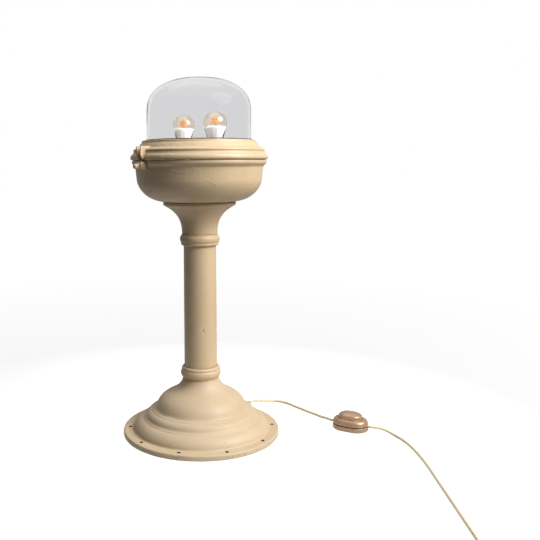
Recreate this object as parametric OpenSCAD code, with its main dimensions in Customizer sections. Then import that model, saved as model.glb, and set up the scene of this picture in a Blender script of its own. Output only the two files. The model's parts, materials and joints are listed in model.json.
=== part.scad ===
// Railway post lamp: a cast iron foot, column and bowl under a hinged ring with a glass dome.
// Millimetres, +Z up, origin on the floor at the column's axis. The catch is at -Y, the hinge
// at +Y, and the two bulbs stand along X.

/* [Foot] */
// Radius of the drilled flange
flange_r = 148; // [130:1:180]
// Thickness of the flange
flange_t = 10; // [8:0.5:11]
// Number of holes in the flange
hole_count = 10; // [6:1:12]
// Diameter of a flange hole
hole_d = 5.5; // [4:0.5:8]
// Distance from the flange's edge to the circle of its holes
hole_inset = 12; // [8:0.5:13.5]
// Width of the flange outside the bell
flange_land = 20; // [18:0.5:26]
// Height of the bell's top above the floor
bell_h = 104; // [94:1:130]
// How far the bell's top stands out past the column
bell_top_out = 3.2; // [2:0.1:5]
// Casting wall of the bell, measured along one axis
bell_wall = 7.5; // [6:0.5:9]

/* [Column] */
// Outer diameter of the column tube
column_d = 62.6; // [56:0.2:80]
// Wall of the column tube
column_wall = 4; // [3:0.5:6]
// Length of column that shows between the collars
column_h = 230; // [120:1:600]
// Height of a collar
collar_h = 22; // [20:0.5:30]
// How far a collar's large bead stands out past the column
bead_out = 7.1; // [6:0.1:10]
// How far a collar's small bead stands out past the column
small_bead_out = 5.4; // [4.6:0.1:8]

/* [Neck] */
// Height of the flared neck with its step disc
neck_h = 62.5; // [50:0.5:90]
// Radius of the step disc under the bowl
step_r = 70; // [66:0.5:72]
// Height of the step disc
step_h = 7; // [5:0.5:9]

/* [Bowl] */
// Outer radius of the bowl's wall
bowl_r = 122.6; // [110:0.2:140]
// Height of the bowl, from the step disc to its rim
bowl_h = 78.5; // [74:0.5:110]
// Casting wall of the bowl
bowl_wall = 6; // [5:0.5:7]
// How far the bowl's rim stands out past its wall
rim_out = 6.6; // [5:0.1:8]

/* [Clamp ring] */
// How far the ring's bead stands out past the bowl's rim
ring_bead_out = 3; // [2:0.1:5]
// Height of the clamp ring
ring_h = 37.4; // [36.5:0.2:45]
// How far the ring's top edge lies inside its bore
ring_top_in = 6.5; // [5:0.1:8]
// Width of the ring's lip round the glass
ring_lip_w = 7.8; // [6:0.1:12]

/* [Glass] */
// Gap between the glass and the ring's lip, that the gasket fills
glass_gap = 2; // [1.6:0.1:3]
// Wall of the glass dome
glass_wall = 5; // [3:0.5:7]
// Height of the glass above the top of the ring
glass_h = 121; // [110:1:180]
// Thickness of the flange round the foot of the glass
glass_flange_t = 6; // [4:0.5:6.5]

/* [Catch and hinge] */
// How far the catch pin lies outside the bowl's rim
catch_out = 1.8; // [1.4:0.1:4]
// Diameter of the catch pin
catch_pin_d = 6; // [4:0.5:7]
// Diameter of the swing bolt's shank
bolt_d = 9; // [7:0.2:9.4]
// Length of the swing bolt from its pin to its end
bolt_len = 16.5; // [14:0.5:24]
// Width of the swing bolt's eye
eye_w = 10; // [8:0.2:11]
// Droop of the swing bolt at rest, in degrees
bolt_droop = 7; // [0:1:20]
// How far the hinge pin lies outside the bowl's rim
hinge_reach = 10.8; // [10:0.1:14]
// Diameter of the hinge pin
hinge_pin_d = 8; // [6:0.5:9]
// Width of the hinge knuckle on the ring
knuckle_w = 23.6; // [18:0.2:30]

/* [Bulbs] */
// Diameter of a bulb
bulb_d = 45; // [35:1:48]
// Height of a bulb's top above the bowl's rim
bulb_top = 91; // [84:1:100]
// Length of a bulb from its contact to its top
bulb_len = 78; // [76:0.5:80]
// Distance between the bulbs' axes
bulb_spacing = 100; // [84:1:104]
// Diameter of a bulb's screw cap
cap_d = 14; // [13:0.1:14.4]

/* [Foot switch] */
// Width of the foot switch across its cord
switch_w = 49; // [46:1:56]
// Length of the switch's straight flanks
switch_flank = 19; // [16:1:26]
// Height of the switch's lower shell
switch_base_h = 9.4; // [9:0.2:12]
// Height of the switch's upper shell
switch_cover_h = 11.4; // [10.6:0.2:14]
// Width of the switch's button
button_w = 34; // [30:0.5:35]
// How far the button stands out of the upper shell
button_h = 11.8; // [9:0.2:16]
// Travel of the button
button_travel = 3.4; // [2:0.1:3.4]

/* [Cord and plug] */
// Diameter of the cord
cord_d = 4.8; // [4.4:0.1:4.8]
// Turns of the coil that puts the spare cord away
coil_turns = 6; // [4:2:8]
// Width of the coil at its middle turn
coil_d = 53; // [50:1:60]
// Length of the plug's body
plug_len = 35; // [30:1:40]
// Diameter of a plug pin
plug_pin_d = 4; // [3.8:0.1:4.8]

/* [Hidden] */
$fn = 96;

PAINT = [0.80, 0.70, 0.54];
STEEL = [0.55, 0.54, 0.52];
BRASS = [0.72, 0.58, 0.30];
RUBBER = [0.10, 0.10, 0.10];
CLEAR = [0.82, 0.84, 0.86, 0.35];
BRONZE = [0.66, 0.50, 0.33];
CORD = [0.86, 0.76, 0.45];
WHITE = [0.93, 0.92, 0.89];

// Clearances
fit = 0.05;         // a shaft in its hole, a spigot in its socket
slack = 0.4;        // parts that pass each other
eps = 0.01;         // a cut that has to run past a face

// Tie tube through the column
tie_r = 8;
tie_bore_r = 6;
tie_nut_h = 10;
tie_nut_r = 14;
tie_washer_h = 3;
tie_washer_r = 22;
tie_spare = 6;      // tube that stands past its nut
spigot_h = 3;
spigot_gap = 1.4;
spigot_wall = 1.9;

// Bell of the foot: how high each step lies over the flange, and how far in from the bell's foot
low_step_z = 20;
low_step_in = 18.5;
valley_z = 26.5;
valley_in = 24;
high_step_z = 35;
high_step_in = 34.8;
waist_z = 41.5;
waist_in = 42;
swell_z = 65.2;
swell_in = 64;
foot_r = flange_r - flange_land;
hole_circle_r = flange_r - hole_inset;

// Three castings are two nodes each, cut where collision has to follow a hollow or the slot
bell_split_z = flange_t + 26;
bowl_split_h = 15.5;
lug_sector_w = 24;

// Collar
collar_groove_out = 4.1;
collar_foot_out = 3.9;
stem_out = 2.9;

// Levels, from the floor up
lower_collar_z = bell_h;
column_seat = 4;    // floor of a collar, that the column's end stands on
column_r = column_d / 2;
spigot_r = column_r - column_wall - spigot_gap;
column_z0 = lower_collar_z + column_seat;
upper_collar_z = lower_collar_z + 2 * collar_h + column_h;
column_z1 = upper_collar_z - column_seat;
neck_z0 = upper_collar_z;
neck_z1 = neck_z0 + neck_h;
bowl_floor_z = neck_z1 + bowl_wall;
bowl_split_z = neck_z1 + bowl_split_h;
rim_z = neck_z1 + bowl_h;
ring_z = rim_z + 0.6;
ring_top_z = ring_z + ring_h;

// Bowl and its rim
bowl_in_r = bowl_r - 2.1 - bowl_wall;
rim_r = bowl_r + rim_out;
groove_depth = 2.5;
groove_w = 4;
groove_in = 7.7;
groove_r1 = rim_r - groove_in;
groove_r0 = groove_r1 - groove_w;
ear_root_r = bowl_r - 4.6;

// Glass seat inside the clamp ring, from the lip down
lip_t = 7;
ring_bead_r = rim_r + ring_bead_out;
ring_in_r = groove_r0 - 1;
ring_top_r = ring_in_r - ring_top_in;
lip_r = ring_top_r - ring_lip_w;
glass_r = lip_r - glass_gap;
lip_z = ring_top_z - lip_t;
top_gasket_t = 2;
glass_flange_r = glass_r + 7.3;
glass_flange_z = lip_z - top_gasket_t - glass_flange_t;
seat_gasket_t = 2.4;
ledge_z = glass_flange_z - seat_gasket_t;
recess_r = glass_flange_r + 1.3;
retainer_t = 3;
retainer_r = ring_in_r - 1;
retainer_screw_r = ring_in_r - 4;
retainer_screw_count = 6;
glass_top_z = ring_top_z + glass_h;

// Catch and hinge
catch_r = rim_r + catch_out;
catch_z = rim_z - 9;
catch_pin_r = catch_pin_d / 2;
eye_r = 7;
ear_t = 4.5;
ear_r = 7.5;
pin_head_t = 1.6;
catch_pin_head_r = catch_pin_r + 1.4;
catch_pin_w = eye_w + 2 * (0.2 + ear_t);
lug_w = 16;
lug_r = catch_r + 7;
slot_w = bolt_d + 0.8;
slot_floor_r = catch_r - bolt_d / 2 - 1.2;
notch_r = catch_r - eye_r - 0.6;
hinge_r = rim_r + hinge_reach;
hinge_z = rim_z - 5;
hinge_pin_r = hinge_pin_d / 2;
barrel_r = 8.5;
hinge_ear_t = 8;
hinge_gap = 0.3;

// Lamp tray and bulbs
tray_z = rim_z - 9;
tray_t = 2;
tray_r = bowl_in_r - 2.5;
tray_lug_r = tray_r - 10;
tray_lug_h = 10;
tray_screw_r = tray_r - 5;
tray_angles = [30, 150, 270];
m4_r = 2;
m4_head_r = 3.2;
m4_head_h = 2.6;
bulb_x = bulb_spacing / 2;
bulb_r = bulb_d / 2;
bulb_z1 = rim_z + bulb_top;
bulb_z0 = bulb_z1 - bulb_len;
bulb_centre_z = bulb_z1 - bulb_r;
cap_r = cap_d / 2;
cap_h = 24;
cap_top_z = bulb_z0 + cap_h;
shell_r = cap_r + 0.6;
holder_z = tray_z + tray_t;
holder_r = 13.5;
holder_flange_r = 20;
holder_flange_t = 4;
holder_grip = 22;
holder_top_z = bulb_z0 + holder_grip;
holder_screw_y = 16.8;
glass_skin = 0.8;

// Terminal block under the tray
block_w = 36;
block_d = 18;
block_h = 14;
block_y = 30;
block_screw_x = 12;
wire_r = 1.1;
wire_lead = 14;
wire_bend = 12;
flex_z = tray_z - block_h / 2;

// Cord where it leaves the foot
cord_r = cord_d / 2;
exit_angle = 100;
exit_z = 17;
relief_inset = 5;
relief_wall = 8.5;
relief_len = 25;
relief_seat_r = foot_r - relief_inset;
relief_nut_seat_r = relief_seat_r - relief_wall;
relief_tip_r = relief_seat_r + relief_len;
relief_spot_len = 24;
relief_flange_r = 6.5;
relief_shank_r = 5.4;

// The cord's route is laid out in a frame turned by this about Z
route_turn = 53;
switch_at = [288, 4];
switch_yaw = -30;
switch_end_x = (switch_w + switch_flank) / 2;
cord_in_switch = 12;
switch_cord_z = switch_base_h + 0.1;

// From the strain relief to the switch, without its two ends
ROUTE_TO_SWITCH = [
  [105, 112.6, 16.9], [112, 121, 15.4], [119, 131, 12.6], [126, 141, 9.4], [134, 150, 6.6],
  [144, 157, 4.4], [156, 160, 2.9], [168, 157, 2.4], [179, 149, 2.4], [188, 138, 2.4],
  [197, 125, 2.4], [206, 112, 2.4], [215, 99, 2.4], [224, 87, 2.4], [233, 74, 2.6],
  [240, 61, 3.4], [246, 48, 5.2], [250, 36, 7.4], [253, 27, 9]
];
// From the switch to the coil, without its two ends
ROUTE_TO_COIL = [
  [322, -16, 9.5], [331, -18, 9.2], [340, -20, 8], [349, -24.5, 6], [356, -32, 4],
  [362, -42, 2.8], [367, -54, 2.4], [371, -67, 2.4], [374, -81, 2.4], [376, -95, 2.4],
  [377.5, -109, 2.4], [378.5, -123, 2.4], [379, -137, 2.4], [379.5, -151, 2.4],
  [379.5, -165, 2.4], [379.5, -179, 2.4], [379, -193, 2.4], [378.5, -207, 2.4],
  [378, -221, 2.4], [377.5, -235, 2.4], [377, -249, 2.4], [376.5, -263, 2.4],
  [376, -277, 2.4], [375.5, -291, 2.4], [375, -305, 2.4], [374.5, -319, 2.4],
  [374, -333, 2.4], [373.5, -347, 2.4], [373, -361, 2.4], [372.5, -375, 2.4],
  [372, -389, 2.4], [371.5, -403, 2.4], [371, -417, 2.4], [370.8, -431, 2.6],
  [370.6, -445, 2.9], [370.5, -459, 3.2]
];

// Coil of spare cord
coil_at = [336, -480];
coil_gap = 0.6;
coil_pitch = cord_d + coil_gap;
coil_rise = cord_d + 0.5;
coil_out_r = coil_d / 2 + coil_pitch * coil_turns / 4;
tie_t = 0.8;
tie_w = 8;
coil_z = tie_t + cord_r;
coil_steps = 24;
coil_sides = 6;

// Plug
plug_t = 13.7;
plug_w = 35.3;
plug_relief_len = 25;
plug_pin_len = 19;
plug_pin_y = 9;
tail_len = 25;

// Cubic curve from a to d, without its first point
function curve(a, b, c, d, n = 10) = [
  for (i = [1:n]) let (t = i / n, s = 1 - t)
    s * s * s * a + 3 * s * s * t * b + 3 * s * t * t * c + t * t * t * d
];
function unit(v) = v / norm(v);
function turned_xy(p, a) = [p.x * cos(a) - p.y * sin(a), p.x * sin(a) + p.y * cos(a), p.z];
function reversed(list) = [for (i = [len(list) - 1:-1:0]) list[i]];

// Directions along a route, one at each point
function headings(p) = [
  for (i = [0:len(p) - 1])
    unit(p[min(i + 1, len(p) - 1)] - p[max(i - 1, 0)])
];
function across(h) = unit(cross(h, abs(h.z) > 0.9 ? [1, 0, 0] : [0, 0, 1]));

// A closed tube with a ring of sides at each point of a route
module tube(route, r, sides = 10) {
  way = headings(route);
  n = len(route);
  rings = [
    for (i = [0:n - 1]) let (u = across(way[i]), v = cross(way[i], u))
      for (k = [0:sides - 1]) route[i] + r * (cos(360 * k / sides) * u + sin(360 * k / sides) * v)
  ];
  walls = [
    for (i = [0:n - 2]) for (k = [0:sides - 1]) let (m = (k + 1) % sides)
      for (f = [
        [i * sides + k, (i + 1) * sides + k, i * sides + m],
        [i * sides + m, (i + 1) * sides + k, (i + 1) * sides + m]
      ]) f
  ];
  ends = [
    for (k = [1:sides - 2]) for (f = [
      [0, k, k + 1],
      [(n - 1) * sides, (n - 1) * sides + k + 1, (n - 1) * sides + k]
    ]) f
  ];
  polyhedron(points = rings, faces = concat(walls, ends), convexity = 10);
}

module turned(points) {
  rotate_extrude() polygon(points);
}

module flat_ring(r0, r1, z, h) {
  translate([0, 0, z]) difference() {
    cylinder(r = r1, h = h);
    translate([0, 0, -eps]) cylinder(r = r0, h = h + 2 * eps);
  }
}

// A cylinder along X, centred on the YZ plane at y, z
module cross_rod(y, z, r, w) {
  translate([-w / 2, y, z]) rotate([0, 90, 0]) cylinder(r = r, h = w);
}

// A YZ outline made w wide along X, centred
module cross_plate(points, w) {
  rotate([90, 0, 90]) linear_extrude(w, center = true) polygon(points);
}

// Places children on the cord's way out of the foot: +Z leads out along it
module at_exit() {
  rotate([0, 0, exit_angle]) translate([0, 0, exit_z]) rotate([0, 90, 0]) children();
}

module screw(head_r, head_h, shank_r, shank_h) {
  cylinder(r = head_r, h = head_h);
  translate([0, 0, -shank_h]) cylinder(r = shank_r, h = shank_h + eps);
}

// Foot

// The bell's outer profile, from the flange to the bell's top
function bell_profile() = let (
  low = [foot_r - low_step_in, flange_t + low_step_z], low_top = low + [-0.7, 1.5],
  high = [foot_r - high_step_in, flange_t + high_step_z], high_top = high + [-0.7, 1.5],
  valley = [foot_r - valley_in, flange_t + valley_z],
  waist = [foot_r - waist_in, flange_t + waist_z],
  swell = [foot_r - swell_in, flange_t + swell_z], top = [column_r + bell_top_out, bell_h]
) concat(
  [[foot_r + 3, flange_t]],
  curve([foot_r + 3, flange_t], [foot_r + 1, flange_t], [foot_r, flange_t + 1],
        [foot_r, flange_t + 3], 4),
  curve([foot_r, flange_t + 3], [foot_r - 2, flange_t + 0.6 * low_step_z],
        [low.x + 8.5, low.y - 2], low),
  [low_top],
  curve(low_top, low_top - [2.5, -0.4], valley + [0.8, -2.7], valley, 5),
  curve(valley, valley + [-1.7, 4.5], high + [5.3, -1.2], high, 8),
  [high_top],
  curve(high_top, high_top - [3, -0.3], waist + [1.2, -3], waist, 5),
  curve(waist, waist + [-4.9, 0.51 * (swell.y - waist.y)], swell + [11.5, -6.1], swell, 10),
  curve(swell, swell + [-10.6, 5.6], top + [3.7, (swell.y - top.y) * 0.61], top, 12)
);

module foot_solid() {
  bell = bell_profile();
  tie_hole_r = tie_r + slack;
  edge = 2;
  difference() {
    turned(concat(
      [[foot_r - bell_wall, 0], [flange_r - 1, 0], [flange_r, 1], [flange_r, flange_t - edge]],
      curve([flange_r, flange_t - edge], [flange_r, flange_t - edge / 2],
            [flange_r - edge / 2, flange_t], [flange_r - edge, flange_t], 4),
      bell,
      [[spigot_r, bell_h], [spigot_r, bell_h + spigot_h], [tie_hole_r, bell_h + spigot_h],
       [tie_hole_r, bell_h - bell_wall]],
      reversed([for (i = [5:len(bell) - 1]) bell[i] - [bell_wall, bell_wall]])
    ));
    for (i = [0:hole_count - 1])
      rotate([0, 0, -90 + 360 * i / hole_count])
        translate([hole_circle_r, 0, -eps]) cylinder(d = hole_d, h = flange_t + 2 * eps);
    at_exit() {
      translate([0, 0, relief_nut_seat_r - relief_spot_len]) cylinder(r = 9, h = relief_spot_len);
      translate([0, 0, relief_nut_seat_r - eps])
        cylinder(r = relief_shank_r + fit, h = relief_wall + 1);
      translate([0, 0, relief_seat_r]) cylinder(r = relief_flange_r + 0.2, h = 12);
    }
  }
}

module base_casting() {
  color(PAINT) intersection() {
    foot_solid();
    cylinder(r = 2 * flange_r, h = bell_split_z);
  }
}

module base_bell() {
  color(PAINT) difference() {
    foot_solid();
    translate([0, 0, -1]) cylinder(r = 2 * flange_r, h = bell_split_z + 1);
  }
}

// A collar from its casting end, at z = 0, to its column end
module collar() {
  bead_r = column_r + bead_out;
  small_bead_r = column_r + small_bead_out;
  groove = [column_r + collar_groove_out, 0.72 * collar_h];
  foot = [column_r + collar_foot_out, 0.12 * collar_h];
  swell = groove.y - foot.y;
  difference() {
    turned(concat(
      [[spigot_r + fit, 0], [foot.x, 0], foot],
      curve(foot, [bead_r + 0.9, foot.y + 0.08 * swell], [bead_r + 0.9, groove.y - 0.08 * swell],
            groove),
      curve(groove, [small_bead_r + 0.4, groove.y + 0.4], [small_bead_r + 0.4, collar_h - 1.6],
            [column_r + 2.3, collar_h], 7),
      [[spigot_r + fit, collar_h]]
    ));
    translate([0, 0, column_seat]) cylinder(r = column_r + fit, h = collar_h);
  }
}

module lower_collar() {
  color(PAINT) translate([0, 0, lower_collar_z]) collar();
}

module upper_collar() {
  color(PAINT) translate([0, 0, upper_collar_z]) mirror([0, 0, 1]) collar();
}

module column_tube() {
  color(PAINT) flat_ring(column_r - column_wall, column_r, column_z0, column_z1 - column_z0);
}

module neck_casting() {
  step_z = neck_z1 - step_h;
  flare = [step_r - 4, step_z - 2];
  stem = [column_r + stem_out, neck_z0 + 2];
  rise = flare.y - stem.y;
  bore_r = spigot_r - spigot_wall;
  web = 12;
  color(PAINT) turned(concat(
    [[bore_r, neck_z0 - spigot_h], [spigot_r, neck_z0 - spigot_h], [spigot_r, neck_z0],
     [stem.x, neck_z0], stem],
    curve(stem, stem + [0, 0.466 * rise], [flare.x - 22, flare.y - 0.223 * rise], flare, 14),
    [[step_r - 0.7, step_z], [step_r, step_z + 1], [step_r, neck_z1 - 1],
     [step_r - 0.7, neck_z1], [tie_r + slack, neck_z1], [tie_r + slack, neck_z1 - web],
     [bore_r + 18, neck_z1 - web - 2], [bore_r, neck_z1 - web - 26]]
  ));
}

// Tie tube with a nut and washer under the bell's top and on the bowl's floor
tie_low_z = bell_h - bell_wall;

module tie_tube() {
  z0 = tie_low_z - tie_washer_h - tie_nut_h - tie_spare;
  z1 = bowl_floor_z + tie_washer_h + tie_nut_h + tie_spare;
  color(STEEL) flat_ring(tie_bore_r, tie_r, z0, z1 - z0);
}

module tie_washers() {
  color(STEEL) {
    flat_ring(tie_r + fit, tie_washer_r, tie_low_z - tie_washer_h, tie_washer_h);
    flat_ring(tie_r + fit, tie_washer_r, bowl_floor_z, tie_washer_h);
  }
}

module tie_nut(z) {
  translate([0, 0, z]) difference() {
    cylinder(r = tie_nut_r, h = tie_nut_h, $fn = 6);
    translate([0, 0, -eps]) cylinder(r = tie_r + fit, h = tie_nut_h + 2 * eps);
  }
}

module tie_nuts() {
  color(STEEL) {
    tie_nut(tie_low_z - tie_washer_h - tie_nut_h);
    tie_nut(bowl_floor_z + tie_washer_h);
  }
}

// Bowl

module bowl_solid() {
  foot = [step_r, neck_z1];
  turn = [bowl_r - 2.1, neck_z1 + 44.5];
  wall_top = [bowl_r, rim_z - 14];
  under_rim = [rim_r - 2.2, rim_z - 8];
  outer = concat(
    [foot],
    curve(foot, foot + [26, 1], turn + [-1, -23], turn, 14),
    [wall_top],
    curve(wall_top, wall_top + [0, 3.5], under_rim - [1.6, 2.4], under_rim, 4),
    curve(under_rim, [rim_r + 0.5, under_rim.y + 2], [rim_r + 0.5, rim_z - 2.5],
          [rim_r - 1, rim_z], 6)
  );
  inner = curve([foot.x - bowl_wall, bowl_floor_z], [foot.x + 26 - bowl_wall, bowl_floor_z + 1],
                [bowl_in_r - 1, turn.y - 17], [bowl_in_r, turn.y + 6], 12);
  hinge_out = knuckle_w / 2 + hinge_gap;
  difference() {
    union() {
      difference() {
        turned(concat(outer, [[bowl_in_r, rim_z]], reversed(inner),
                      [[foot.x - bowl_wall, bowl_floor_z], [tie_r + slack, bowl_floor_z],
                       [tie_r + slack, neck_z1]]));
        // way for the swing bolt's eye and shank
        translate([-eye_w / 2 - 0.3, -rim_r - 5, catch_z - 12])
          cube([eye_w + 0.6, rim_r + 5 - notch_r, 30]);
      }
      for (s = [-1, 1]) {
        translate([s * (eye_w / 2 + 0.2 + ear_t / 2), 0, 0]) {
          cross_rod(-catch_r, catch_z, ear_r, ear_t);
          cross_plate([[-ear_root_r, catch_z - 10], [-ear_root_r, catch_z + ear_r],
                       [-catch_r, catch_z + ear_r], [-catch_r - ear_r, catch_z],
                       [-catch_r, catch_z - ear_r]], ear_t);
        }
        translate([s * (hinge_out + hinge_ear_t / 2), 0, 0]) {
          cross_rod(hinge_r, hinge_z, barrel_r, hinge_ear_t);
          cross_plate([[ear_root_r, hinge_z - 16], [ear_root_r, hinge_z + 4.4],
                       [hinge_r - 6.6, hinge_z + 4.4], [hinge_r, hinge_z + barrel_r],
                       [hinge_r + 3, hinge_z - 7], [hinge_r - 8, hinge_z - 11]], hinge_ear_t);
        }
      }
      // stop that the open ring's arm comes down on
      cross_plate([[ear_root_r, hinge_z - 17], [ear_root_r, hinge_z - 10.6],
                   [hinge_r - 4, hinge_z - 10.6],
                   [hinge_r + 16, hinge_z - 5.4], [hinge_r + 16, hinge_z - 9.4],
                   [hinge_r - 4, hinge_z - 16]], 2 * hinge_out + 2);
      for (a = tray_angles) intersection() {
        rotate([0, 0, a]) translate([tray_lug_r, -8, tray_z - tray_lug_h])
          cube([bowl_in_r + 3 - tray_lug_r, 16, tray_lug_h]);
        cylinder(r = bowl_in_r + 3, h = rim_z);
      }
    }
    flat_ring(groove_r0, groove_r1, rim_z - groove_depth, groove_depth + 1);
    cross_rod(-catch_r, catch_z, catch_pin_r + fit / 2, 60);
    for (s = [-1, 1]) translate([s * (catch_pin_w / 2 + pin_head_t), 0, 0])
      cross_rod(-catch_r, catch_z, catch_pin_head_r + 0.3, 2 * pin_head_t);
    cross_rod(hinge_r, hinge_z, hinge_pin_r + fit / 2, 3 * knuckle_w);
    for (a = tray_angles) rotate([0, 0, a])
      translate([tray_screw_r, 0, tray_z - 9]) cylinder(r = m4_r + fit, h = 10);
  }
}

module bowl_floor() {
  color(PAINT) intersection() {
    bowl_solid();
    cylinder(r = 2 * rim_r, h = bowl_split_z);
  }
}

module bowl_casting() {
  color(PAINT) difference() {
    bowl_solid();
    cylinder(r = 2 * rim_r, h = bowl_split_z);
  }
}

module rim_gasket() {
  color(RUBBER) flat_ring(groove_r0 + 0.2, groove_r1 - 0.2, rim_z - groove_depth,
                          groove_depth + ring_z - rim_z);
}

// Clamp ring with its glass

module ring_solid() {
  bead = [ring_bead_r - 3.6, ring_z];
  band = [ring_bead_r - 5.2, ring_z + 12];
  shoulder = [ring_bead_r - 5.6, ring_z + 17];
  slope = [ring_top_r + 12, ring_z + 21.6];
  neck = [ring_top_r + 1.2, ring_top_z - 5.4];
  lug_root_r = ring_in_r + 0.5;
  arm_root_r = ring_in_r + 4.5;
  arm_h = 20.9;
  difference() {
    union() {
      turned(concat(
        [bead],
        curve(bead, [ring_bead_r - 0.6, ring_z + 0.5], [ring_bead_r + 0.1, ring_z + 2.6],
              [ring_bead_r, ring_z + 4.4], 5),
        curve([ring_bead_r, ring_z + 4.4], [ring_bead_r - 0.2, ring_z + 8.2],
              [ring_bead_r - 2.6, ring_z + 11.4], band, 6),
        curve(shoulder, shoulder + [-0.2, 3.2], slope + [3, 0.2], slope, 5),
        curve(slope, slope - [4.6, -0.4], neck + [3.4, -2.2], neck, 6),
        [[ring_top_r, ring_top_z - 3.6], [ring_top_r - 0.2, ring_top_z - 1],
         [ring_top_r - 1.2, ring_top_z], [lip_r, ring_top_z], [lip_r, lip_z],
         [recess_r, lip_z], [recess_r, ledge_z], [ring_in_r, ledge_z], [ring_in_r, ring_z]]
      ));
      // slotted lug that the swing bolt closes into
      cross_plate([[-lug_root_r, ledge_z + 1.4], [-lug_root_r, ledge_z + 5.8],
                   [-lug_r + 1, ledge_z + 5.8], [-lug_r, ledge_z + 4.8], [-lug_r, ring_z + 9.4],
                   [-catch_r - 2, ring_z + 0.2], [-arm_root_r, ring_z + 0.2],
                   [-arm_root_r, ring_z + 12]], lug_w);
      // arm and barrel of the hinge
      cross_plate([[arm_root_r, ring_z + 0.2], [arm_root_r, ring_z + arm_h - 2.5],
                   [hinge_r - 11, ring_z + arm_h], [hinge_r + 1, ring_z + 11.4],
                   [hinge_r + barrel_r, hinge_z + 3],
                   [hinge_r + barrel_r, hinge_z], [hinge_r - 8, hinge_z],
                   [hinge_r - 8, ring_z + 0.2]], knuckle_w);
      cross_rod(hinge_r, hinge_z, barrel_r, knuckle_w);
    }
    translate([-slot_w / 2, -lug_r - 5, rim_z - 5])
      cube([slot_w, lug_r + 5 - slot_floor_r, ring_h]);
    cross_rod(hinge_r, hinge_z, hinge_pin_r + 1.2 * fit, 3 * knuckle_w);
    for (i = [0:retainer_screw_count - 1]) rotate([0, 0, 60 * i])
      translate([retainer_screw_r, 0, ledge_z - eps]) cylinder(r = m4_r + fit, h = 6);
  }
}

// The front of the ring, that holds the lug
module lug_sector() {
  translate([-lug_sector_w / 2, -lug_r - 1, ring_z - 1])
    cube([lug_sector_w, lug_r + 1, ring_h + 2]);
}

module clamp_ring() {
  color(PAINT) difference() {
    ring_solid();
    lug_sector();
  }
}

module clamp_lug() {
  color(PAINT) intersection() {
    ring_solid();
    lug_sector();
  }
}

module dome_gasket() {
  color(RUBBER) turned([
    [glass_r + slack, lip_z - top_gasket_t], [recess_r - 0.3, lip_z - top_gasket_t],
    [recess_r - 0.3, lip_z], [lip_r - 0.1, lip_z], [lip_r - 0.1, ring_top_z],
    [lip_r + 0.3, ring_top_z], [lip_r, ring_top_z + 1.6], [glass_r + slack, ring_top_z + 1.6]
  ]);
}

// Half profile of a dome: straight below, a squared curve above
function dome_profile(r, z0, z1, n = 20) = [
  for (i = [0:n]) let (a = 90 * i / n)
    [r * pow(cos(a), 0.83), z0 + (z1 - z0) * pow(sin(a), 0.83)]
];

module glass_dome() {
  spring_z = ring_top_z + 0.45 * glass_h;
  inner_r = glass_r - glass_wall;
  color(CLEAR) turned(concat(
    [[inner_r, glass_flange_z], [glass_flange_r, glass_flange_z],
     [glass_flange_r, glass_flange_z + glass_flange_t],
     [glass_r, glass_flange_z + glass_flange_t]],
    dome_profile(glass_r, spring_z, glass_top_z),
    reversed(dome_profile(inner_r, spring_z, glass_top_z - glass_wall))
  ));
}

module seat_gasket() {
  color(RUBBER) flat_ring(glass_r - glass_wall + 1.8, glass_flange_r, ledge_z, seat_gasket_t);
}

module retaining_ring() {
  color(STEEL) difference() {
    flat_ring(glass_r - glass_wall + 1, retainer_r, ledge_z - retainer_t, retainer_t);
    for (i = [0:retainer_screw_count - 1]) rotate([0, 0, 60 * i])
      translate([retainer_screw_r, 0, ledge_z - retainer_t - eps])
        cylinder(r = m4_r + 0.3, h = retainer_t + 2 * eps);
  }
}

module retaining_screws() {
  color(STEEL) for (i = [0:retainer_screw_count - 1]) rotate([0, 0, 60 * i])
    translate([retainer_screw_r, 0, ledge_z - retainer_t]) mirror([0, 0, 1])
      screw(3, 2.4, m4_r, retainer_t + 5.5);
}

module hinge_pin() {
  w = knuckle_w + 2 * (hinge_gap + hinge_ear_t);
  head_r = hinge_pin_r + 2;
  color(STEEL) {
    cross_rod(hinge_r, hinge_z, hinge_pin_r, w + 2 * eps);
    for (s = [-1, 1]) translate([s * (w / 2 + 1.2), 0, 0])
      cross_rod(hinge_r, hinge_z, head_r, 2.4);
  }
}

module swing_bolt() {
  color(PAINT) difference() {
    union() {
      cross_rod(-catch_r, catch_z, eye_r, eye_w);
      translate([0, -catch_r, catch_z]) rotate([bolt_droop, 0, 0]) rotate([90, 0, 0]) {
        translate([0, 0, 2]) cylinder(d = bolt_d, h = bolt_len - 3);
        translate([0, 0, bolt_len - 1]) cylinder(d1 = bolt_d, d2 = bolt_d - 2, h = 1);
      }
    }
    cross_rod(-catch_r, catch_z, catch_pin_r + fit, 2 * eye_w);
  }
}

module catch_pin() {
  color(PAINT) {
    cross_rod(-catch_r, catch_z, catch_pin_r, catch_pin_w + 2 * eps);
    for (s = [-1, 1]) translate([s * (catch_pin_w + pin_head_t) / 2, 0, 0])
      cross_rod(-catch_r, catch_z, catch_pin_head_r, pin_head_t);
  }
}

// Lamp tray and lampholders

module at_bulbs() {
  for (s = [-1, 1]) translate([s * bulb_x, 0, 0]) children();
}

module lamp_tray() {
  color(WHITE) difference() {
    translate([0, 0, tray_z]) cylinder(r = tray_r, h = tray_t);
    for (a = tray_angles) rotate([0, 0, a])
      translate([tray_screw_r, 0, tray_z - eps]) cylinder(r = m4_r + 0.3, h = tray_t + 2 * eps);
    at_bulbs() {
      translate([0, 0, tray_z - eps]) cylinder(r = 6, h = tray_t + 2 * eps);
      for (s = [-1, 1]) translate([0, s * holder_screw_y, tray_z - eps])
        cylinder(r = 1.5 + fit, h = tray_t + 2 * eps);
    }
    for (s = [-1, 1]) translate([s * block_screw_x, block_y, tray_z - eps])
      cylinder(r = 1.7, h = tray_t + 2 * eps);
  }
}

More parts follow.
